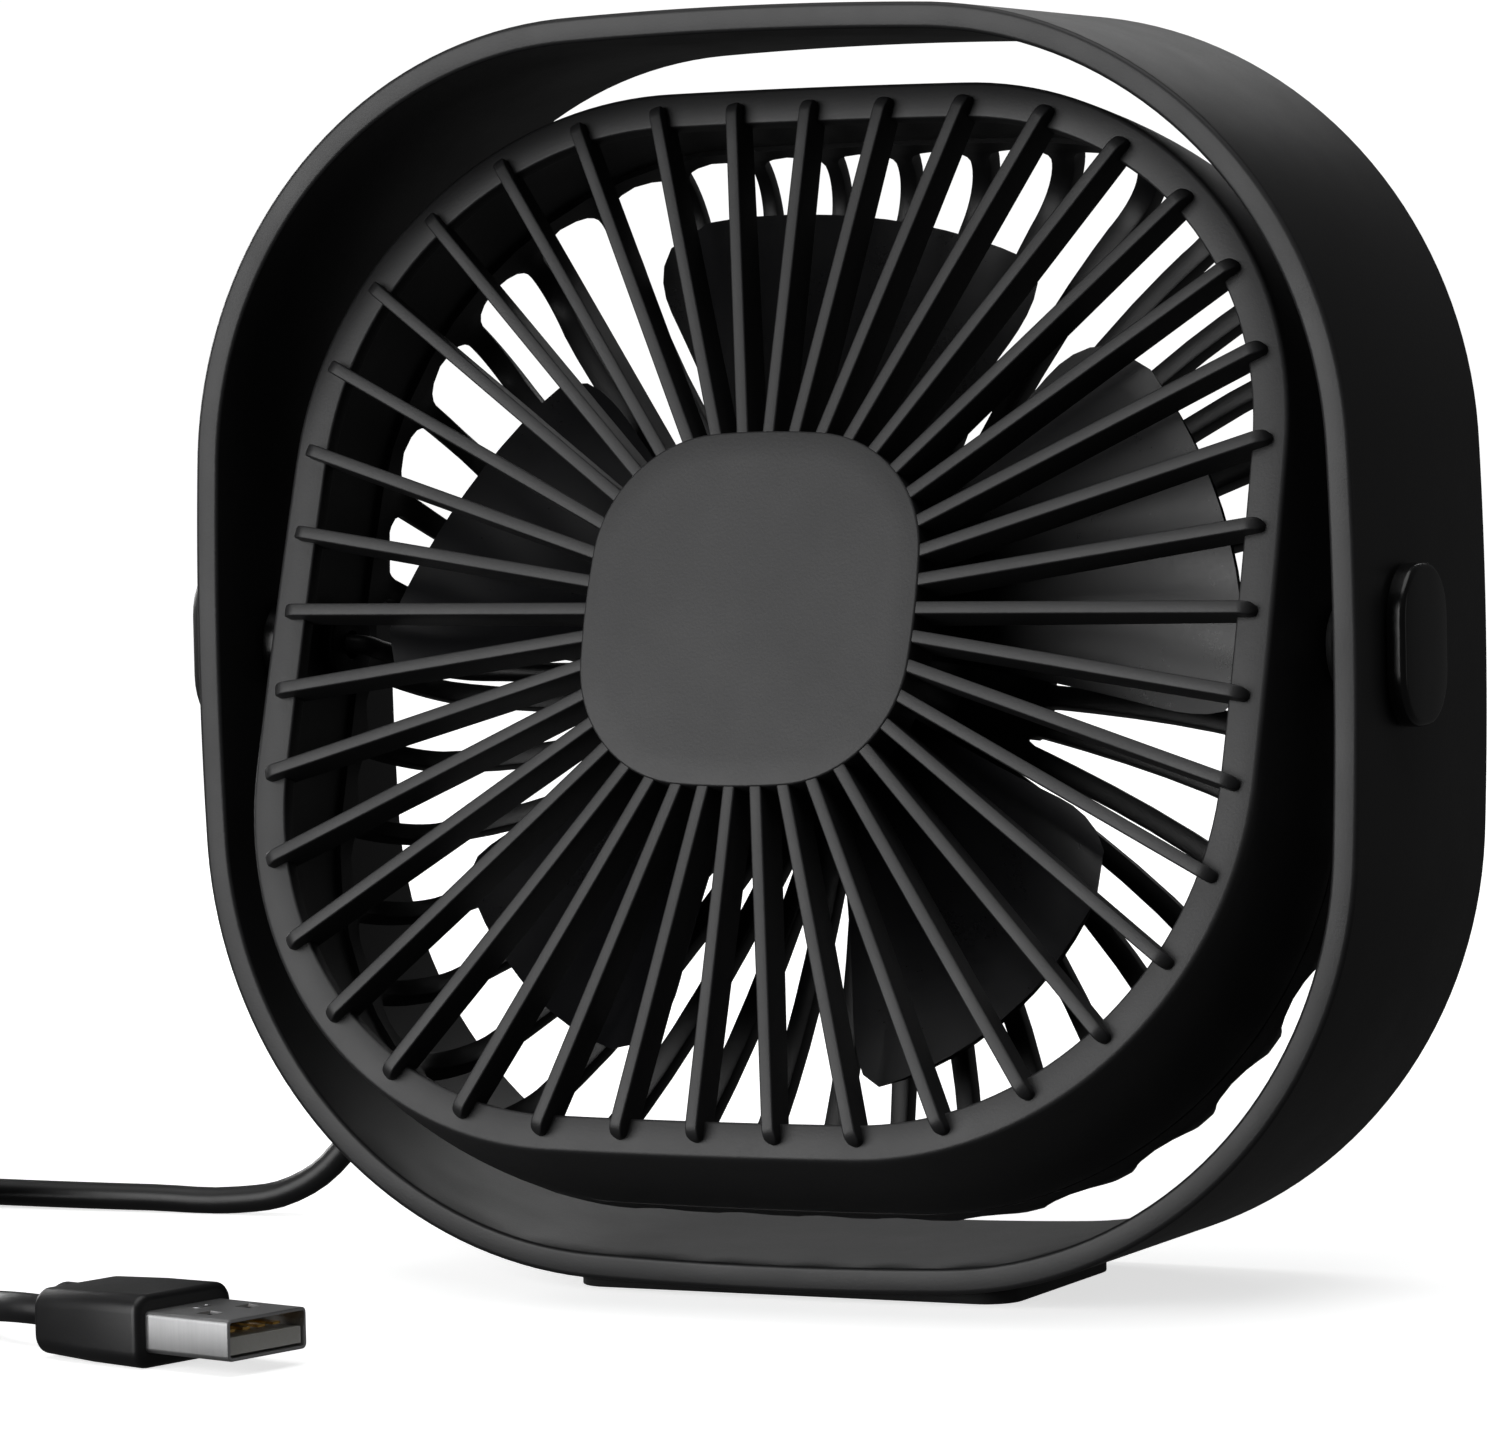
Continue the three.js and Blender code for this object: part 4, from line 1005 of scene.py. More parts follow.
@dataclass
class UsbPlug:
    """The lead's moulded plug, along its own +Y."""

    length: float = 0.0165
    width: float = 0.0147
    height: float = 0.008
    corner: float = 0.002
    neck_end: float = 0.01115  # from the grip's middle
    neck_radius: float = 0.0034
    neck_lip: float = 0.0011
    shell_width: float = 0.012
    shell_height: float = 0.0045
    shell_length: float = 0.012
    shell_wall: float = 0.00035
    window: float = 0.0022
    window_apart: float = 0.0059
    window_back: float = 0.0056

    @staticmethod
    def place() -> Matrix:
        """Where the plug lies on the table."""
        move = Matrix.Translation((-0.049, -0.078, 0.004))
        return move @ Matrix.Rotation(math.radians(-104), 4, "Z")

    def overmould(self) -> bpy.types.Object:
        """The grip, a little narrower at its back, with its lip and neck.

        Returns:
            The grip.
        """
        rings = []
        front, back = self.length / 2, -self.length / 2
        rear_edge, front_edge, narrowing = 0.001, 0.0008, 0.0004
        edge = [math.pi / 2 * k / 5 for k in range(6)]
        stations = [
            (back + rear_edge * (1 - math.sin(t)), rear_edge * (1 - math.cos(t)) + narrowing)
            for t in reversed(edge)
        ]
        stations += [(0.0, 0.0001)]
        stations += [
            (front - front_edge * (1 - math.sin(t)), front_edge * (1 - math.cos(t))) for t in edge
        ]
        for along, inset in stations:
            plan = rounded_rectangle(self.width - 2 * inset, self.height - 2 * inset, self.corner)
            rings.append([Vector((x, along, z)) for x, z in plan])
        root = back + 0.001
        collar = rounded(
            [
                (0.0, -self.neck_end, 0.0),
                (self.neck_radius - 0.0006, -self.neck_end, 0.0005),
                (self.neck_radius, -self.neck_end + self.neck_lip, 0.0003),
                (self.neck_radius, root, 0.0),
                (0.0, root, 0.0),
            ]
        )
        return joined("usb_grip", lofted("grip", rings), turned("neck", collar, 48))

    def shell(self) -> bpy.types.Object:
        """The drawn steel shell with its four windows and the mark of its locking stamp.

        Returns:
            The shell.
        """
        start, mouth = self.length / 2 - 0.002, self.length / 2 + GAP + self.shell_length
        width, height, thick = self.shell_width, self.shell_height, self.shell_wall
        outer = rounded_rectangle(width, height, 0.0006, 5)
        inner = rounded_rectangle(width - 2 * thick, height - 2 * thick, 0.0003, 5)
        chamfer = 0.0001
        across, up = 1 - chamfer / 0.006, 1 - chamfer / 0.002
        rings = [
            [Vector((x, start, z)) for x, z in outer],
            [Vector((x, mouth - chamfer, z)) for x, z in outer],
            [Vector((x * across, mouth, z * up)) for x, z in outer],
            [Vector((x, mouth, z)) for x, z in inner],
            [Vector((x, start, z)) for x, z in inner],
        ]
        shell = lofted("usb_steel_shell", rings, joined=True)
        cutters = []
        for x in (-self.window_apart / 2, self.window_apart / 2):
            plan = rounded_rectangle(self.window, self.window, 0.0002, 3)
            middle = mouth - self.window_back
            hole = [[Vector((x + u, middle + v, z)) for u, v in plan] for z in (-height, height)]
            cutters.append(lofted("window", hole))
        cut(shell, *cutters)
        return joined("usb_steel_shell", shell, *(self.stamp(mouth, side) for side in (-1, 1)))

    def stamp(self, mouth: float, side: int) -> bpy.types.Object:
        """The small oval ridge pressed into one face of the shell.

        Args:
            mouth: where the shell's mouth is along +Y.
            side: 1 for the top face and -1 for the bottom one.

        Returns:
            The ridge.
        """
        around, section = 32, 8
        straight, end_reach, side_reach, back = 0.00075, 0.0004, 0.00045, 0.0098
        ridge_half, ridge_height = 0.00014, 0.00009
        rings = []
        for i in range(around):
            angle = math.tau * i / around
            x = straight * math.copysign(1, math.cos(angle)) + end_reach * math.cos(angle)
            middle = Vector((x, mouth - back + side_reach * math.sin(angle), 0))
            out = Vector((math.cos(angle), math.sin(angle), 0))
            ring = []
            for j in range(section):
                turn = math.tau * j / section
                lift = side * (self.shell_height / 2 + ridge_height * math.sin(turn))
                ring.append(middle + out * ridge_half * math.cos(turn) + Vector((0, 0, lift)))
            rings.append(ring)
        return lofted("stamp", rings, joined=True)

    def build(self) -> list[bpy.types.Object]:
        """Makes every piece of the plug.

        Returns:
            Its pieces.
        """
        place = self.place()
        pieces = [
            dress(self.overmould(), PVC_MOULD, "stand", place, ["usb_overmould"]),
            dress(self.shell(), NICKEL, "stand", place, ["usb_shell"]),
        ]
        pieces.append(recoat("usb_tongue", WHITE_LCP))
        pieces += [recoat(f"usb_contact_{i}", GOLD_FLASH) for i in range(1, 5)]
        return pieces


def recoat(node: str, finish: Finish) -> bpy.types.Object:
    """Gives a node of the frame its finish, and keeps its shape.

    Args:
        node: the node's name.
        finish: what it is made of.

    Returns:
        The node.
    """
    kept = frame["nodes"][node]
    kept.data.materials.clear()
    kept.data.materials.append(finish.material())
    log.info("%s keeps its shape, in %s", node, finish.name)
    return kept


# ------------------------------------------------------------------ stand


@dataclass
class Stand:
    """The hoop, its foot pad and what is fixed to it at the pivots."""

    outline: Outline = field(default_factory=lambda: Outline(0.0725, 0.052, 0.51))
    wall: float = 0.003
    edge: float = 0.0005
    bush_hole: float = 0.0049
    pad_length: float = 0.055
    pad_depth: float = 0.032
    pad_thickness: float = 0.0009

    def hoop(self) -> bpy.types.Object:
        """The rounded-square hoop, with its front lip and its two bores.

        Returns:
            The dressed piece.
        """
        low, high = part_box("hoop_stand")
        front, back = low.y, high.y
        profile = rounded(
            [
                (0.0, front, 0.0006),
                (self.wall, front, self.edge),
                (self.wall, back, self.edge),
                (0.0, back, 0.0006),
            ]
        )
        made = framed("hoop", self.outline.inset, [(a, d - pivot_place().y) for a, d in profile])
        cut(made, cross_bore(self.bush_hole))
        place = Matrix.Translation(pivot_place())
        return dress(made, HOOP_ABS, "stand", place, ["hoop_stand"])

    def pad(self) -> bpy.types.Object:
        """The thin rubber strip under the hoop, flat below and hollow above.

        Returns:
            The dressed piece.
        """
        radius = self.outline.bow + GAP
        corner, stations = 0.004, 48
        rings = []
        for i in range(stations + 1):
            x = -self.pad_length / 2 * math.cos(math.pi * i / stations)
            past = max(abs(x) - (self.pad_length / 2 - corner), 0.0)
            half = self.pad_depth / 2 - corner + math.sqrt(max(corner**2 - past**2, 1e-10))
            top = self.pad_thickness + radius - math.sqrt(radius**2 - x * x)
            corners = [(-half, 0, 0.0002), (half, 0, 0.0002)]
            corners += [(half, top, 0.0003), (-half, top, 0.0003)]
            rings.append([Vector((x, y, z)) for y, z in rounded(corners, 2)])
        return dress(lofted("rubber_foot", rings), TPR, "stand", None, ["foot_pad"])

    def bush(self, side: int) -> bpy.types.Object:
        """One flanged pivot bush, with its cone on the inside of the hoop.

        Args:
            side: 1 for the right and -1 for the left.

        Returns:
            The dressed piece.
        """
        word = "right" if side > 0 else "left"
        node = f"pivot_bush_{word}"
        low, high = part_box(node)
        inner, outer = (low.x, high.x) if side > 0 else (-high.x, -low.x)
        shoulder = self.outline.half - self.wall - GAP
        bore, neck = 0.0032, self.bush_hole - GAP
        profile = rounded(
            [
                (bore, inner, 0.0001),
                (0.0048, inner, 0.0005),
                (0.0056, shoulder, 0.0002),
                (neck, shoulder, 0.0),
                (neck, outer, 0.0001),
                (bore, outer, 0.0001),
            ]
        )
        place = Matrix.Translation(pivot_place()) @ along_x(side)
        made = turned(f"bush_{word}", profile)
        return dress(made, GLOSS_ABS, "stand", place, [node])

    def cover(self) -> bpy.types.Object:
        """The pressed-on cover outside the right-hand pivot, plain and slightly crowned.

        Returns:
            The dressed piece.
        """
        low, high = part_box("pivot_cover_right")
        size = (high.y - low.y, high.z - low.z)
        thick = high.x - low.x
        levels = edge_levels(0.0, thick - 0.0002, 0.0007, 0.0002)
        levels += [(thick - 0.0001, 0.0025), (thick, 0.0045)]
        made = cushion("pivot_cover", size, 0.006, levels)
        middle = Vector((low.x, (low.y + high.y) / 2, (low.z + high.z) / 2))
        place = Matrix.Translation(middle) @ along_x(1)
        return dress(made, GLOSS_ABS, "stand", place, ["pivot_cover_right"])

    def housing(self) -> bpy.types.Object:
        """The small box outside the left-hand pivot that turns the lead down and back.

        Returns:
            The dressed piece.
        """
        low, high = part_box("cable_housing_left")
        size = (high.y - low.y, high.z - low.z)
        thick = high.x - low.x
        levels = edge_levels(0.0, thick - 0.0002, 0.002, 0.0003)
        seam = [(0.0028, 0.0), (0.003, 0.0002), (0.0032, 0.0002), (0.0034, 0.0)]
        foot = 6  # levels of the bottom edge, which the seam comes after
        levels = levels[:foot] + seam + levels[foot:] + [(thick, 0.0045)]
        made = cushion("cable_housing", size, 0.007, levels)
        middle = Vector((high.x, (low.y + high.y) / 2, (low.z + high.z) / 2))
        place = Matrix.Translation(middle) @ along_x(-1)
        return dress(made, HOOP_ABS, "stand", place, ["cable_housing_left"])

    def relief(self) -> bpy.types.Object:
        """The tapered strain relief with its grooves, along its own +Y.

        Returns:
            The dressed piece.
        """
        start, end = RELIEF_START, RELIEF_END
        thick, thin, collar = 0.0031, 0.0024, 0.0037
        corners: list[Corner] = [
            (0.0, start - 0.0034, 0.0),
            (thick, start - 0.0034, 0.0002),
            (thick, start + 0.0001, 0.0),
            (collar, start + 0.0001, 0.0002),
            (collar, start + 0.0012, 0.0003),
        ]
        grooves, first, pitch, deep = 6, 0.0028, 0.0026, 0.00045
        for i in range(grooves):
            for along, sink in ((0.0, 0.0), (0.0004, deep), (0.0012, deep), (0.0016, 0.0)):
                depth = start + first + i * pitch + along
                share = (depth - start) / (end - start)
                corners.append((thick + (thin - thick) * share - sink, depth, 0.0001))
        corners += [(thin - 0.0001, end, 0.0003), (0.0, end, 0.0)]
        made = turned("lead_relief", rounded(corners, 2), 40)
        return dress(made, TPR, "stand", relief_place(), ["strain_relief"])

    def build(self) -> bpy.types.Object:
        """Makes the stand, and returns its strain relief.

        Returns:
            The strain relief.
        """
        self.hoop()
        self.pad()
        for side in (-1, 1):
            self.bush(side)
        self.cover()
        self.housing()
        return self.relief()


# ------------------------------------------------------------------ head


@dataclass
class HeadShape:
    """The head's outlines and the places along its depth that its mouldings share."""

    half: float = 0.0624
    corner: float = 0.0442
    bow: float = 1.2
    flare: float = 0.0022
    wall: float = 0.002
    rim_front: float = -0.0147
    rim_width: float = 0.0042
    rim_thickness: float = 0.0022
    seam: float = 0.0058
    back: float = 0.0185
    back_corner: float = 0.0095
    back_wall: float = 0.0026

    def outline(self, half: float) -> Outline:
        """The head's outline at another half width, with its corners grown to match."""
        return Outline(half, max(self.corner + half - self.half, 0.3 * half), self.bow)

    @property
    def seam_half(self) -> float:
        """Half width at the seam."""
        return self.half + self.flare

    def side(self, depth: float) -> float:
        """Half width of the front moulding's outside at a place along its depth."""
        share = (depth - self.rim_front) / (self.seam - GAP - self.rim_front)
        return self.half + self.flare * math.sin(share * math.pi / 2)


@dataclass
class FrontGrille:
    """The front moulding: its band and rim, the ribs and the plate that they run out from."""

    shape: HeadShape
    ribs: int = 40
    rib_width: float = 0.0015
    rib_raise: float = 0.0021
    rib_below: float = 0.00015  # fronts of the ribs, below the plate's front
    rib_depth: float = 0.0044
    root_depth: float = 0.0056
    rib_inset: float = 0.0017
    nose: float = 0.0019
    rib_edge: float = 0.00022
    plate: Outline = field(default_factory=lambda: Outline(0.0207, 0.015, 0.095))
    plate_thickness: float = 0.002
    plate_skirt: float = 0.0062
    pin_hole: float = 0.0032

    @property
    def plate_front(self) -> float:
        """Where the plate's front is along the head's depth."""
        return self.shape.rim_front - self.rib_raise

    def band(self) -> bpy.types.Object:
        """The curved side wall with its flat rim and the tongue that fits in the rear moulding.

        Returns:
            The band.
        """
        shape = self.shape
        end, tongue = shape.seam - GAP, shape.seam + GAP
        steps = 12
        span = end - shape.rim_front
        middles = [shape.rim_front + span * (k + 1) / steps for k in range(steps)]
        outside: list[Corner] = [(shape.half, shape.rim_front, 0.0006)]
        outside += [(shape.side(y), y, 0.0) for y in middles[:-1]]
        step = shape.side(end) - shape.wall / 2
        outside += [(shape.side(end), end, 0.0002), (step, end, 0.0), (step, tongue, 0.0)]
        outside += [(shape.side(end) - shape.wall, tongue, 0.0002)]
        rim_back = shape.rim_front + shape.rim_thickness
        behind = [y for y in reversed(middles[:-1]) if y > rim_back]
        inside = [(shape.side(y) - shape.wall, y, 0.0) for y in behind]
        inside += [
            (shape.half - shape.wall, rim_back, 0.0008),
            (shape.half - shape.rim_width, rim_back, 0.0003),
            (shape.half - shape.rim_width, shape.rim_front, 0.0003),
        ]
        made = framed("grille_band", shape.outline, rounded([*outside, *inside], 3))
        return cut(made, cross_bore(self.pin_hole, 32))

    def rib(self, reach: float) -> bpy.types.Object:
        """One rib on +X: soft front edges, and an end that rounds over and drops on to the rim.

        Args:
            reach: distance of its tip from the axis.

        Returns:
            The rib.
        """
        start = self.plate.half - self.plate_thickness
        half = self.rib_width / 2
        straight, steps, thinnest = 0.004, 8, 0.00008
        nose_start = reach - self.nose
        turns = [math.pi / 2 * k / steps for k in range(steps + 1)]
        stations = [start, start + straight, nose_start - straight]
        stations += [nose_start + self.nose * math.sin(t) for t in turns]
        rings = []
        for x in stations:
            past = max(x - nose_start, 0.0)
            drop = self.nose - math.sqrt(max(self.nose**2 - past**2, 0.0))
            slim = max(x - (reach - half), 0.0)
            side = max(math.sqrt(max(half**2 - slim**2, 0.0)), thinnest)
            share = (x - start) / (reach - start)
            deep = self.root_depth + (self.rib_depth - self.root_depth) * share
            front, back = self.plate_front + self.rib_below + drop, self.plate_front + deep
            fillet = min(self.rib_edge, side * 0.9)
            corners = [(-side, front, fillet), (side, front, fillet)]
            corners += [(side, back, 0), (-side, back, 0)]
            rings.append([Vector((x, y, z)) for z, y in rounded(corners, 3)])
        made = lofted("rib", rings)
        stretch = made.data.attributes.new("stretch", "FLOAT", "POINT")
        for vertex in made.data.vertices:
            moves = vertex.co.x > nose_start - straight - 0.0005
            stretch.data[vertex.index].value = 1.0 if moves else 0.0
        made.data.shade_smooth()
        return made

    def rib_ring(self) -> bpy.types.Object:
        """All the ribs, each run out to the rim.

        Returns:
            The ribs as one piece.
        """
        shape = self.shape
        end = Outline(shape.half - self.rib_inset, shape.corner - self.rib_inset, shape.bow)
        around = 3 * FINE
        wall = [
            [end.point(math.tau * i / around, y) for i in range(around)] for y in (-0.01, 0.01)
        ]
        guide = lofted("guide", wall, capped=False)
        copies = CopiesRound(self.ribs, 0.0, end.half)
        return copies.make("grille_ribs", self.rib(end.half), GRILLE_ABS, guide)

    def boss(self) -> bpy.types.Object:
        """The blank middle plate, flush with the ribs, with its skirt behind.

        Returns:
            The plate.
        """
        front = self.plate_front
        skirt, thick = front + self.plate_skirt, self.plate_thickness
        fillet, around = 0.0003, FINE // 2
        turns = [math.pi / 2 * k / 4 for k in range(5)]
        levels: list[Pair] = [(0.0035, front)]
        levels += [
            (fillet * (1 - math.sin(t)), front + fillet * (1 - math.cos(t))) for t in turns
        ]
        levels += [(0.0, skirt - 0.0002), (0.0002, skirt), (thick, skirt)]
        levels += [(thick, front + 0.0026), (thick + 0.0008, front + 0.002)]
        rings = []
        for inset, depth in levels:
            outline = self.plate.inset(inset)
            rings.append([outline.point(math.tau * i / around, depth) for i in range(around)])
        return lofted("grille_plate", rings)

    def build(self, place: Matrix) -> None:
        """Makes the front moulding's three pieces.

        Args:
            place: from the head's own frame to where the head is held.
        """
        dress(self.band(), GRILLE_ABS, "head", place, ["front_grille"])
        dress(self.rib_ring(), GRILLE_ABS, "head", place)
        dress(self.boss(), GRILLE_ABS, "head", place)


@dataclass
class RearGrille:
    """The rear moulding: a dished cage of swept spokes, its hub and the motor's cradle."""

    shape: HeadShape
    spokes: int = 40
    spoke_width: float = 0.0025
    sweep: float = 7.0
    hub: float = 0.022
    slot_start: float = 0.0232
    slot_end: float = 0.0086  # depth at which the slots end on the wall
    bore: float = 0.0125
    cradle_wall: float = 0.0015
    cradle_length: float = 0.012
    edge: float = 0.00035

    def stations(self) -> list[tuple[float, float, float]]:
        """Rows of the cage from its bore to its seam.

        Returns:
            For each row: its share of the way over the flat back, the turn round the corner in
            radians, and the distance along the wall past the corner.
        """
        hub = [-0.32, -0.02, 0.024, 0.028, 0.034, 0.045, 0.07]  # close where the slots start
        flat = [0.12, 0.2, 0.35, 0.5, 0.65, 0.8, 0.92]
        bends, falls = 14, 6
        rows = [(share, 0.0, 0.0) for share in hub + flat]
        rows += [(1.0, math.pi / 2 * k / bends, 0.0) for k in range(bends + 1)]
        wall = self.shape.back - self.shape.back_corner - self.shape.seam
        rows += [(1.0, math.pi / 2, wall * k / falls) for k in range(1, falls + 1)]
        return rows

    def skin_point(self, row: tuple[float, float, float], angle: float, inset: float) -> Vector:
        """A point of the cage's outside, or of a skin inside it.

        Args:
            row: one row of the cage.
            angle: in radians from +X.
            inset: how far the skin is inside the outside.

        Returns:
            The point.
        """
        share, turn, down = row
        shape = self.shape
        bend = shape.back_corner - inset
        half, back = shape.seam_half - inset, shape.back - inset
        if share < 1:
            edge = shape.outline(shape.seam_half - shape.back_corner).radius(angle)
            radius = self.hub + (edge - self.hub) * share
            return Vector((radius * math.cos(angle), back, radius * math.sin(angle)))
        across = half - bend * (1 - math.sin(turn))
        depth = back - bend * (1 - math.cos(turn)) - down
        return shape.outline(across).point(angle, depth)

    def slot_angle(self, slot: int, row: tuple[float, float, float]) -> float:
        """Where the middle of a slot is at a row, swept round as it runs out from the hub.

        Args:
            slot: the slot's number.
            row: one row of the cage.

        Returns:
            The angle in radians from +X.
        """
        begin = self.hub - 0.003
        reach = self.shape.outline(self.shape.seam_half).radius(math.pi / 4) + 0.004
        base = math.tau * slot / self.spokes
        share = max(self.skin_point(row, base, 0.0).xz.length - begin, 0.0) / (reach - begin)
        return base - math.radians(self.sweep) * share**2

    def cage(self) -> bpy.types.Object:
        """The slotted shell: spokes that widen and merge where the slots have their round ends.

        Returns:
            The cage.
        """
        rows = self.stations()
        across = 7
        points: list[Vector] = []
        faces: list[list[int]] = []
        for spoke in range(self.spokes):
            base = math.tau * (spoke + 0.5) / self.spokes
            run = self.run_of(rows, base)
            openings = []
            for k, row in enumerate(rows):
                radius = self.skin_point(row, base, 0.0).xz.length
                low, high = self.slot_angle(spoke, row), self.slot_angle(spoke + 1, row)
                opening = self.opening(radius, run, k)
                openings.append(opening)
                half = (high - low) / 2 - opening / radius
                soft = self.edge * min(opening / 0.0006, 1.0)
                for inset in (0.0, self.shape.back_wall):
                    for side, sink in self.columns(soft):
                        part = math.copysign(half - abs(side) / radius, side) if side else 0.0
                        level = inset + (sink if inset == 0 else -sink)
                        points.append(self.skin_point(row, (low + high) / 2 + part, level))
            first = spoke * len(rows) * across * 2
            for k in range(len(rows) - 1):
                here, there = first + k * across * 2, first + (k + 1) * across * 2
                for j in range(across - 1):
                    faces.append([here + j, here + j + 1, there + j + 1, there + j])
                    inner, after = here + across + j, there + across + j
                    faces.append([inner, after, after + 1, inner + 1])
                if openings[k] > 0 or openings[k + 1] > 0:
                    for j in (0, across - 1):
                        faces.append([here + j, there + j, there + across + j, here + across + j])
            for k in (0, len(rows) - 1):
                here = first + k * across * 2
                for j in range(across - 1):
                    faces.append([here + j, here + j + 1, here + across + j + 1, here + across + j])
        return closed_mesh("rear_cage", points, faces)

    def columns(self, soft: float) -> list[Pair]:
        """Places across a spoke, from one soft edge to the other, and how far each drops.

        Args:
            soft: radius of the edges.

        Returns:
            The place and the drop of each column.
        """
        tiny = 1e-9
        side = [(tiny, soft), (0.3 * soft + tiny, 0.3 * soft), (soft + tiny, 0.0)]
        return [(-a, d) for a, d in side] + [(0.0, 0.0)] + [(a, d) for a, d in reversed(side)]

    def run_of(self, rows: Sequence[tuple[float, float, float]], angle: float) -> list[float]:
        """Distance along the cage's outside to each row.

        Args:
            rows: the cage's rows.
            angle: in radians from +X.

        Returns:
            The distance of each row from the first.
        """
        places = [self.skin_point(row, angle, 0.0) for row in rows]
        run = [0.0]
        for before, after in zip(places, places[1:]):
            run.append(run[-1] + (after - before).length)
        return run

    def opening(self, radius: float, run: Sequence[float], k: int) -> float:
        """Half the slot's width at a row, closing in a half circle at each end of the slot.

        Args:
            radius: the row's distance from the axis.
            run: distance along the outside to each row.
            k: the row's number.

        Returns:
            Half the width, which is 0 outside the slot.
        """
        full = math.pi * radius / self.spokes - self.spoke_width / 2
        wall = self.shape.back - self.shape.back_corner - self.slot_end
        corner_end = run[-1] - (self.shape.back - self.shape.back_corner - self.shape.seam)
        start = self.slot_start - self.bore_radius(0)
        inward, outward = run[k] - start, corner_end + wall - run[k]
        near = min(inward, outward)
        if near <= 0 or full <= 0:
            return 0.0
        if near >= full:
            return full
        return math.sqrt(full**2 - (full - near) ** 2)

    def bore_radius(self, row: int) -> float:
        """Radius of a row on +X, on the flat back."""
        return self.skin_point(self.stations()[row], 0.0, 0.0).xz.length

    def cradle(self) -> bpy.types.Object:
        """The ring that the motor is pushed into, with a rounded lip.

        Returns:
            The ring.
        """
        inside = self.shape.back - self.shape.back_wall
        front, back = inside - self.cradle_length, inside + 0.0002
        bore, outer = self.bore, self.bore + self.cradle_wall
        profile = [(bore, front, 0.0003), (outer, front, 0.0004), (outer, back, 0), (bore, back, 0)]
        return turned("motor_cradle", rounded(profile), 96)

    def build(self, place: Matrix) -> None:
        """Makes the rear moulding's two pieces.

        Args:
            place: from the head's own frame to where the head is held.
        """
        dress(self.cage(), REAR_ABS, "head", place, ["rear_grille"])
        dress(self.cradle(), REAR_ABS, "head", place)


@dataclass
class HubCover:
    """The cover on the back, its three screws and the power button."""

    front: float = 0.0188
    back: float = 0.0212
    radius: float = 0.0205
    screw_circle: float = 0.0172
    screw_head: float = 0.0017
    button: float = 0.005
    proud: float = 0.0014
    dish: float = 0.0003
    screws: int = 3
    first_screw: float = 0.25  # share of a pitch that the first screw is round from +X

    def lid(self) -> bpy.types.Object:
        """The round lid: a raised lip, a shallow dish and sunk places for the screws.

        Returns:
            The lid.
        """
        hole, low = self.button + GAP, self.back - self.dish
        profile = rounded(
            [
                (hole, self.front, 0.0),
                (self.radius, self.front, 0.0003),
                (self.radius, self.back, 0.0008),
                (self.radius - 0.0014, self.back, 0.0003),
                (self.radius - 0.0016, low, 0.0002),
                (self.button + 0.0032, low, 0.0006),
                (self.button + 0.0026, self.back, 0.0006),
                (hole, self.back, 0.0004),
            ]
        )
        made = turned("hub_lid", profile, 160)
        sink, wide = self.back - 0.0013, self.screw_head + GAP
        cutters = []
        for i in range(self.screws):
            plug = turned("sink", [(0, sink), (wide, sink), (wide, THROUGH), (0, THROUGH)], 40)
            turn = Matrix.Rotation(-math.tau * (i + self.first_screw) / self.screws, 4, "Y")
            plug.data.transform(Matrix.Translation(turn @ Vector((self.screw_circle, 0, 0))))
            cutters.append(plug)
        return cut(made, *cutters)

    def screw(self) -> bpy.types.Object:
        """One pan-head screw on +X, with a cross recess.

        Returns:
            The screw.
        """
        head, shank = self.screw_head, 0.0008
        neck, tip = self.back - 0.001, self.back - 0.004
        profile = rounded(
            [
                (0.0, self.back, 0.0),
                (head, self.back, 0.0005),
                (head, neck, 0.0001),
                (shank, neck, 0.0),
                (shank, tip, 0.0002),
                (0.0, tip, 0.0),
            ]
        )
        made = turned("screw", profile, 40)
        length, width = 0.0019, 0.00045
        levels = ((self.back + 0.001, 1.0), (self.back - 0.0006, 0.55))  # a recess that narrows
        arms = []
        for size in ((length, width), (width, length)):
            plan = rounded_rectangle(*size, 0.0001, 2)
            rings = [[Vector((x * s, y, z * s)) for x, z in plan] for y, s in levels]
            arms.append(lofted("arm", rings))
        cut(made, *arms)
        made.data.transform(Matrix.Translation((self.screw_circle, 0, 0)))
        return made

    def push_button(self) -> bpy.types.Object:
        """The button: a dished cap on its plunger.

        Returns:
            The button.
        """
        low, under, plunger = 0.0161, 0.0187, 0.0017
        top = self.back + self.proud
        profile = rounded(
            [
                (0.0, low, 0.0),
                (plunger, low, 0.0002),
                (plunger, under, 0.0),
                (self.button, under, 0.0002),
                (self.button, top, 0.0008),
                (self.button - 0.0014, top, 0.0004),
                (0.0, top - 0.0005, 0.0),
            ]
        )
        return turned("button_cap", profile, 80)

    def build(self, place: Matrix) -> None:
        """Makes the cover, its screws and the button.

        Args:
            place: from the head's own frame to where the head is held.
        """
        dress(self.lid(), REAR_ABS, "head", place, ["rear_hub_cover"])
        first = math.tau * self.first_screw / self.screws
        screws = CopiesRound(self.screws, first).make("cover_screws", self.screw(), ZINC)
        nodes = [f"hub_screw_{i + 1}" for i in range(self.screws)]
        dress(screws, ZINC, "head", place, nodes)
        dress(self.push_button(), GLOSS_ABS, "button", place, ["power_button"])


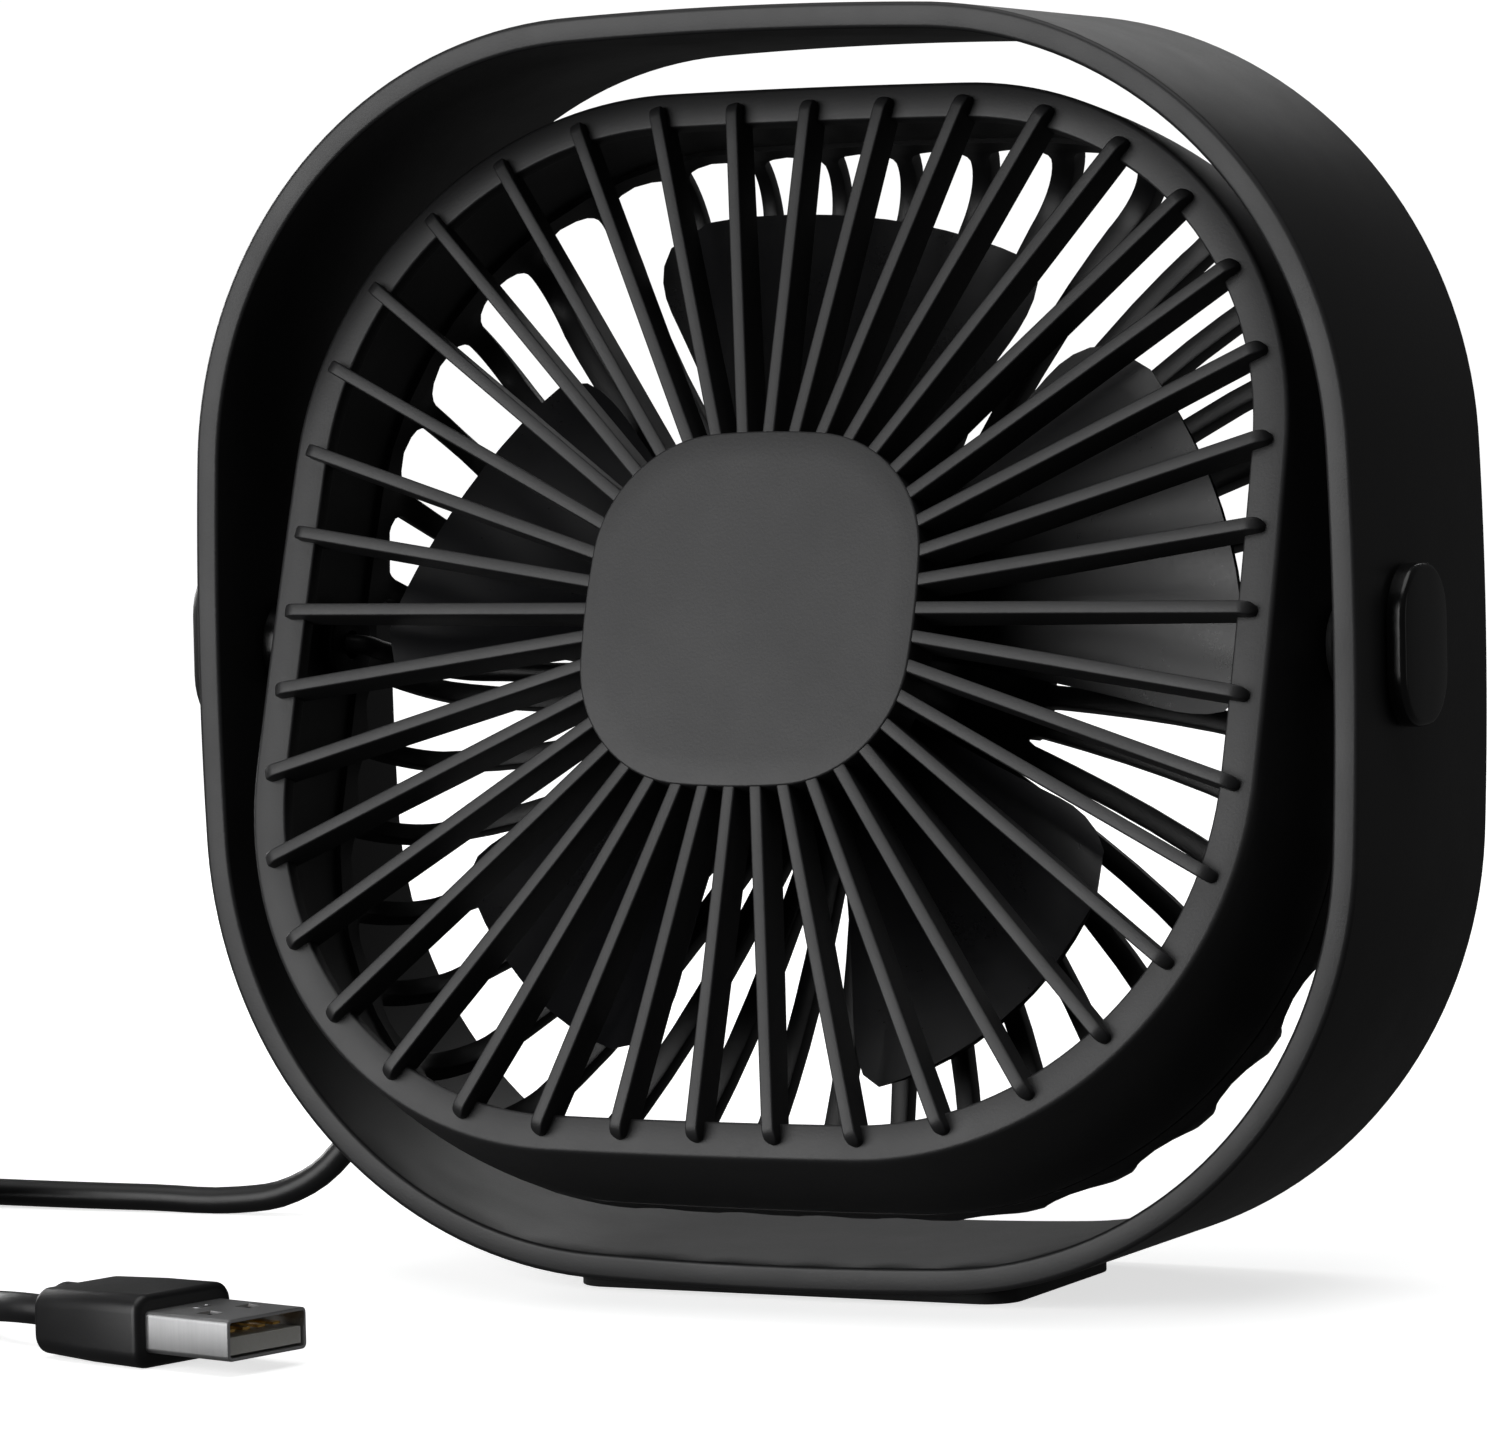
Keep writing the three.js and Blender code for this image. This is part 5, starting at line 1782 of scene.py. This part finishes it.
@dataclass
class Pivots:
    """The headed pins through the head's sides, with their friction washers, and the inner lead."""

    shape: HeadShape
    pin: float = 0.0029
    bore: float = 0.0017
    head: float = 0.005
    head_thickness: float = 0.0016
    end: float = 0.0722
    wire: float = 0.0012  # radius of the inner lead

    def pin_piece(self, side: int, bore: float) -> bpy.types.Object:
        """One pin along +Y from the inside of the head.

        Args:
            side: 1 for the right and -1 for the left.
            bore: radius of its bore, or 0 where it is solid.

        Returns:
            The pin.
        """
        seat = self.shape.side(-self.head) - self.shape.wall - GAP
        under = seat - self.head_thickness
        profile = rounded(
            [
                (bore, under, 0.0001 if bore else 0.0),
                (self.head, under, 0.0005),
                (self.head, seat, 0.0002),
                (self.pin, seat, 0.0),
                (self.pin, self.end, 0.0003),
                (bore, self.end, 0.0001 if bore else 0.0),
            ]
        )
        return turned(f"pin_{'right' if side > 0 else 'left'}", profile, 48)

    def washer(self, side: int) -> bpy.types.Object:
        """One rubber washer that holds the head where it is put.

        Args:
            side: 1 for the right and -1 for the left.

        Returns:
            The washer.
        """
        low = self.shape.seam_half + GAP
        high = low + 0.0008
        bore, rim, soft = self.pin + GAP, 0.0048, 0.0002
        corners = ((bore, low), (rim, low), (rim, high), (bore, high))
        profile = rounded([(radius, depth, soft) for radius, depth in corners])
        return turned(f"washer_{'right' if side > 0 else 'left'}", profile, 48)

    def inner_lead(self) -> bpy.types.Object:
        """The lead's run through the hollow pin and back to the circuit board.

        Returns:
            The lead.
        """
        depth = 0.01295
        rows = [
            (0.0748, 0.0), (0.0661, 0.0), (0.0586, 0.0), (0.0575, 0.0026), (0.0557, 0.0074),
            (0.0521, depth - 0.001), (0.0455, depth), (0.0254, depth), (0.0117, depth),
        ]  # fmt: skip
        curve = bpy.data.curves.new("inner", "CURVE")
        curve.dimensions = "3D"
        curve.bevel_depth = self.wire
        curve.bevel_resolution, curve.resolution_u = 4, 8
        curve.use_fill_caps = True
        spline = curve.splines.new("BEZIER")
        spline.bezier_points.add(len(rows) - 1)
        for knot, (across, back) in zip(spline.bezier_points, rows):
            knot.co = (-across, back, 0)
            knot.handle_left_type = knot.handle_right_type = "AUTO"
        drawn = bpy.data.objects.new("inner", curve)
        bpy.context.scene.collection.objects.link(drawn)
        graph = bpy.context.evaluated_depsgraph_get()
        mesh = bpy.data.meshes.new_from_object(drawn.evaluated_get(graph))
        bpy.data.objects.remove(drawn)
        return new_piece("inner_lead_jacket", mesh)

    def build(self, place: Matrix) -> None:
        """Makes both pivots and the inner lead.

        Args:
            place: from the head's own frame to where the head is held.
        """
        for side, word, bore in ((-1, "left", self.bore), (1, "right", 0.0)):
            spot = place @ along_x(side)
            pin, washer = self.pin_piece(side, bore), self.washer(side)
            dress(pin, BLACK_OXIDE, "head", spot, [f"pivot_pin_{word}"])
            dress(washer, TPR, "head", spot, [f"friction_washer_{word}"])
        dress(self.inner_lead(), PVC, "head", place, ["inner_lead"])


@dataclass
class Motor:
    """The small brushed motor, its board and its switch."""

    radius: float = 0.0122
    wall: float = 0.0008
    front: float = -0.0065
    length: float = 0.015
    cap: float = 0.002
    bearing: float = 0.0032
    bearing_length: float = 0.0024
    shaft_bore: float = 0.00115
    board_radius: float = 0.0114
    board_thickness: float = 0.0012

    def can(self) -> bpy.types.Object:
        """The drawn steel can with its turned-in front.

        Returns:
            The can.
        """
        back = self.front + self.length
        bore = self.bearing + GAP
        inside = self.radius - self.wall
        profile = rounded(
            [
                (bore, self.front, 0.0001),
                (self.radius, self.front, 0.0012),
                (self.radius, back, 0.0002),
                (inside, back, 0.0),
                (inside, self.front + self.wall, 0.0006),
                (bore, self.front + self.wall, 0.0),
            ]
        )
        return turned("motor_case", profile, 96)

    def end_cap(self) -> bpy.types.Object:
        """The nylon end cap.

        Returns:
            The cap.
        """
        low = self.front + self.length + GAP
        high = low + self.cap
        bore, rim = self.bearing + GAP, self.radius
        profile = [(bore, low, 0.0), (rim, low, 0.0003), (rim, high, 0.0004), (bore, high, 0.0002)]
        return turned("motor_back", rounded(profile), 96)

    def bearing_piece(self, word: str) -> bpy.types.Object:
        """One sintered bearing.

        Args:
            word: front or rear.

        Returns:
            The bearing.
        """
        rear = self.front + self.length + self.cap - 0.0018
        low = self.front - 0.0003 if word == "front" else rear
        high = low + self.bearing_length
        bore, rim, soft = self.shaft_bore, self.bearing, 0.0003
        profile = [(bore, low, 0.0001), (rim, low, soft), (rim, high, soft), (bore, high, 0.0001)]
        return turned(f"bearing_{word}", rounded(profile), 40)

    def board(self) -> bpy.types.Object:
        """The round circuit board.

        Returns:
            The board.
        """
        tabs = 0.0015  # room for the motor's tabs, with their gaps
        low = self.front + self.length + GAP + self.cap + tabs
        high = low + self.board_thickness
        rim, soft = self.board_radius, 0.0001
        profile = [(0, low, 0), (rim, low, soft), (rim, high, soft), (0, high, 0)]
        return turned("driver_board", rounded(profile))

    def build(self, place: Matrix) -> None:
        """Makes the motor's outside and gives the pieces in it their finishes.

        Args:
            place: from the head's own frame to where the head is held.
        """
        dress(self.can(), ZINC, "head", place, ["motor_can"])
        dress(self.end_cap(), NYLON, "head", place, ["motor_end_cap"])
        for word in ("front", "rear"):
            bearing = self.bearing_piece(word)
            dress(bearing, BRONZE, "head", place, [f"motor_bearing_{word}"])
        dress(self.board(), SOLDER_MASK, "head", place, ["circuit_board"])
        kept = {
            "motor_magnet_left": FERRITE,
            "motor_magnet_right": FERRITE,
            "motor_tab_left": GOLD_FLASH,
            "motor_tab_right": GOLD_FLASH,
            "push_switch": SWITCH_PBT,
            "motor_shaft": ZINC,
            "rotor_core": SHEET_IRON,
            "commutator": GOLD_FLASH,
        }
        for node, finish in kept.items():
            recoat(node, finish)


@dataclass
class Impeller:
    """The five-blade impeller that turns on the motor's shaft."""

    blades: int = 5
    tip: float = 0.0515
    thickness: float = 0.0016
    root_span: float = 46.0  # degrees of sector
    tip_span: float = 54.0
    root_pitch: float = 34.0
    tip_pitch: float = 22.0
    hub: float = 0.017
    hub_wall: float = 0.0015
    front: float = -0.0096
    depth: float = 0.017
    shaft_bore: float = 0.0013
    boss: float = 0.003
    boss_back: float = -0.0071
    tip_starts: float = 0.72  # share of the way out where the tip begins to round off
    lead_round: float = 0.34  # share of its span that each edge loses at the tip
    trail_round: float = 0.16
    hollow: float = 0.0016

    def cap(self) -> bpy.types.Object:
        """The hub: a cup with a soft front edge and the boss for the shaft.

        Returns:
            The hub.
        """
        back = self.front + self.depth
        inner = self.hub - self.hub_wall
        floor = self.front + self.hub_wall
        profile = rounded(
            [
                (0.0, self.front, 0.0),
                (self.hub, self.front, 0.0022),
                (self.hub, back, 0.0003),
                (inner, back, 0.0003),
                (inner, floor, 0.001),
                (self.boss, floor, 0.0004),
                (self.boss, self.boss_back, 0.0002),
                (self.shaft_bore, self.boss_back, 0.0),
                (self.shaft_bore, floor, 0.0),
                (0.0, floor, 0.0),
            ]
        )
        return turned("impeller_hub", profile, 120)

    def blade(self) -> bpy.types.Object:
        """One blade on +X: wide, thin-edged, twisted and slightly hollow on its pressure side.

        Returns:
            The blade.
        """
        middle = self.front + self.depth / 2
        start = self.hub - self.hub_wall / 2
        along, width = 18, 12  # steps out along the blade and across it
        thinning = 0.35  # share of its thickness that the blade loses by its tip
        flatter = 0.94 * math.cos(math.radians(23))  # pitch as it is, against its tangent
        rings = []
        for i in range(along + 1):
            share = i / along
            radius = start + (self.tip - start) * share
            span = math.radians(self.root_span + (self.tip_span - self.root_span) * share) / 2
            past = max((share - self.tip_starts) / (1 - self.tip_starts), 0.0)
            loss = 1 - math.sqrt(max(1 - past**2, 0.0))
            lead, trail = span * (1 - self.lead_round * loss), span * (1 - self.trail_round * loss)
            pitch = self.root_pitch + (self.tip_pitch - self.root_pitch) * share
            slope = math.tan(math.radians(pitch)) * flatter
            ring = []
            for side, order in ((1, range(width + 1)), (-1, range(width - 1, 0, -1))):
                for j in order:
                    across = -1 + 2 * j / width
                    angle = across * (lead if across > 0 else trail)
                    bulge = side * self.thickness / 2 * math.sqrt(max(1 - across**4, 0.0))
                    bulge *= 1 - thinning * share
                    camber = self.hollow * (1 - across**2)
                    y = middle - slope * radius * math.sin(angle) + camber + bulge
                    ring.append(Vector((radius * math.cos(angle), y, radius * math.sin(angle))))
            rings.append(ring)
        made = lofted("blade", rings)
        made.data.shade_smooth()
        return made

    def build(self, place: Matrix) -> None:
        """Makes the hub and its blades.

        Args:
            place: from the head's own frame to where the head is held.
        """
        dress(self.cap(), BLADE_ABS, "rotor", place, ["impeller"])
        copies = CopiesRound(self.blades, math.pi / 2)
        ring = copies.make("impeller_blades", self.blade(), BLADE_ABS)
        dress(ring, BLADE_ABS, "rotor", place)


# ------------------------------------------------------------------ studio


@dataclass
class Studio:
    """The pale floor, the soft lights and the camera."""

    camera_place: Corner = (0.3208, -0.6823, 0.1067)
    azimuth: float = 25.305
    pitch: float = -2.668
    roll: float = -1.2165
    lens: float = 156.82
    shift: Pair = (-0.0455, -0.0374)
    floor_glow: float = 0.7
    overhead: float = 1.15
    front: float = 4.4
    back: float = 1.6
    right: float = 0.4
    plug: float = 6.5
    surround: float = 0.05

    def camera(self) -> None:
        """Makes the camera."""
        data = bpy.data.cameras.new("camera")
        data.lens, data.sensor_width = self.lens, 36.0
        data.shift_x, data.shift_y = self.shift
        data.clip_start, data.clip_end = 0.05, 100.0
        made = bpy.data.objects.new("camera", data)
        bpy.context.scene.collection.objects.link(made)
        turn = Matrix.Rotation(math.radians(self.azimuth), 4, "Z")
        turn = turn @ Matrix.Rotation(math.radians(90 + self.pitch), 4, "X")
        turn = turn @ Matrix.Rotation(math.radians(self.roll), 4, "Z")
        made.matrix_world = Matrix.Translation(self.camera_place) @ turn
        bpy.context.scene.camera = made

    def floor(self) -> None:
        """Makes the wide pale floor, which throws no light back on the fan."""
        points = [(x, y, 0) for x, y in ((-20, -20), (20, -20), (20, 20), (-20, 20))]
        mesh = bpy.data.meshes.new("floor")
        mesh.from_pydata(points, [], [(0, 1, 2, 3)])
        made = new_piece("floor", mesh)
        made.visible_diffuse = made.visible_glossy = False
        paint = bpy.data.materials.new("matt white paint")
        paint.use_nodes = True
        tree = paint.node_tree
        tree.nodes.clear()
        place = add_node(tree, "ShaderNodeTexCoord").outputs["Object"]
        mottle = add_node(tree, "ShaderNodeTexNoise", inputs={"Vector": place, "Scale": 400.0})
        height = mottle.outputs["Fac"]
        bump = add_node(tree, "ShaderNodeBump", inputs={"Height": height, "Distance": 0.00002})
        shader = add_node(
            tree,
            "ShaderNodeBsdfPrincipled",
            inputs={
                "Base Color": linear("f2f2f2"),
                "Roughness": 0.9,
                "Specular IOR Level": 0.05,
                "Emission Color": (1.0, 1.0, 1.0, 1.0),
                "Emission Strength": self.floor_glow,
                "Normal": bump.outputs["Normal"],
            },
        )
        add_node(tree, "ShaderNodeOutputMaterial", inputs={"Surface": shader.outputs["BSDF"]})
        made.data.materials.append(paint)

    def softbox(self, name: str, place: Corner, size: Pair, glow: float, target: Corner) -> None:
        """Adds one soft rectangular light that faces a target.

        Args:
            name: the light's name.
            place: its middle.
            size: its width and height.
            glow: its radiance, so that its size can change without its brightness.
            target: the point that it faces.
        """
        data = bpy.data.lights.new(name, "AREA")
        data.shape = "RECTANGLE"
        data.size, data.size_y = size
        data.energy = glow * math.pi * size[0] * size[1]
        made = bpy.data.objects.new(name, data)
        bpy.context.scene.collection.objects.link(made)
        aim = (Vector(target) - Vector(place)).to_track_quat("-Z", "Y")
        made.matrix_world = Matrix.Translation(place) @ aim.to_matrix().to_4x4()

    def lights(self) -> None:
        """Makes the overhead light, the softboxes and the dim surround."""
        data = bpy.data.lights.new("overhead", "SUN")
        data.energy, data.angle = self.overhead, math.radians(60)
        made = bpy.data.objects.new("overhead", data)
        bpy.context.scene.collection.objects.link(made)
        made.matrix_world = Matrix.Rotation(math.radians(6), 4, "X")
        middle = (0.0, -0.01, 0.075)
        self.softbox("front", (-0.72, -1.38, 0.34), (1.3, 1.2), self.front, middle)
        self.softbox("back", (-0.35, 1.3, 0.84), (0.8, 0.4), self.back, middle)
        self.softbox("right", (1.3, 0.55, 0.1), (0.3, 0.5), self.right, middle)
        self.softbox("plug", (-0.75, 0.35, 0.26), (0.4, 0.2), self.plug, (-0.04, -0.08, 0.0))
        world = bpy.data.worlds.new("surround")
        bpy.context.scene.world = world
        world.use_nodes = True
        tree = world.node_tree
        tree.nodes.clear()
        seen = add_node(tree, "ShaderNodeLightPath").outputs["Is Camera Ray"]
        levels = {"Value": seen, "To Min": self.surround, "To Max": 1.05}
        strength = add_node(tree, "ShaderNodeMapRange", inputs=levels).outputs["Result"]
        glow = add_node(
            tree,
            "ShaderNodeBackground",
            inputs={"Color": (1.0, 1.0, 1.0, 1.0), "Strength": strength},
        )
        add_node(tree, "ShaderNodeOutputWorld", inputs={"Surface": glow.outputs[0]})

    def build(self) -> None:
        """Makes the studio."""
        self.camera()
        self.floor()
        self.lights()
        bpy.context.scene.view_settings.view_transform = "Standard"


def main() -> None:
    """Builds the fan, piece by piece, in its studio."""
    logging.basicConfig(level=logging.INFO, format="%(message)s")
    Studio().build()
    lead_maker = Lead()
    lead = lead_maker.build()
    clip = CordClip().build(lead_maker)
    plug = UsbPlug().build()
    relief = Stand().build()
    shape = HeadShape()
    place = head_matrix()
    FrontGrille(shape).build(place)
    RearGrille(shape).build(place)
    HubCover().build(place)
    Pivots(shape).build(place)
    Motor().build(place)
    Impeller().build(place)


if __name__ == "__main__":
    main()
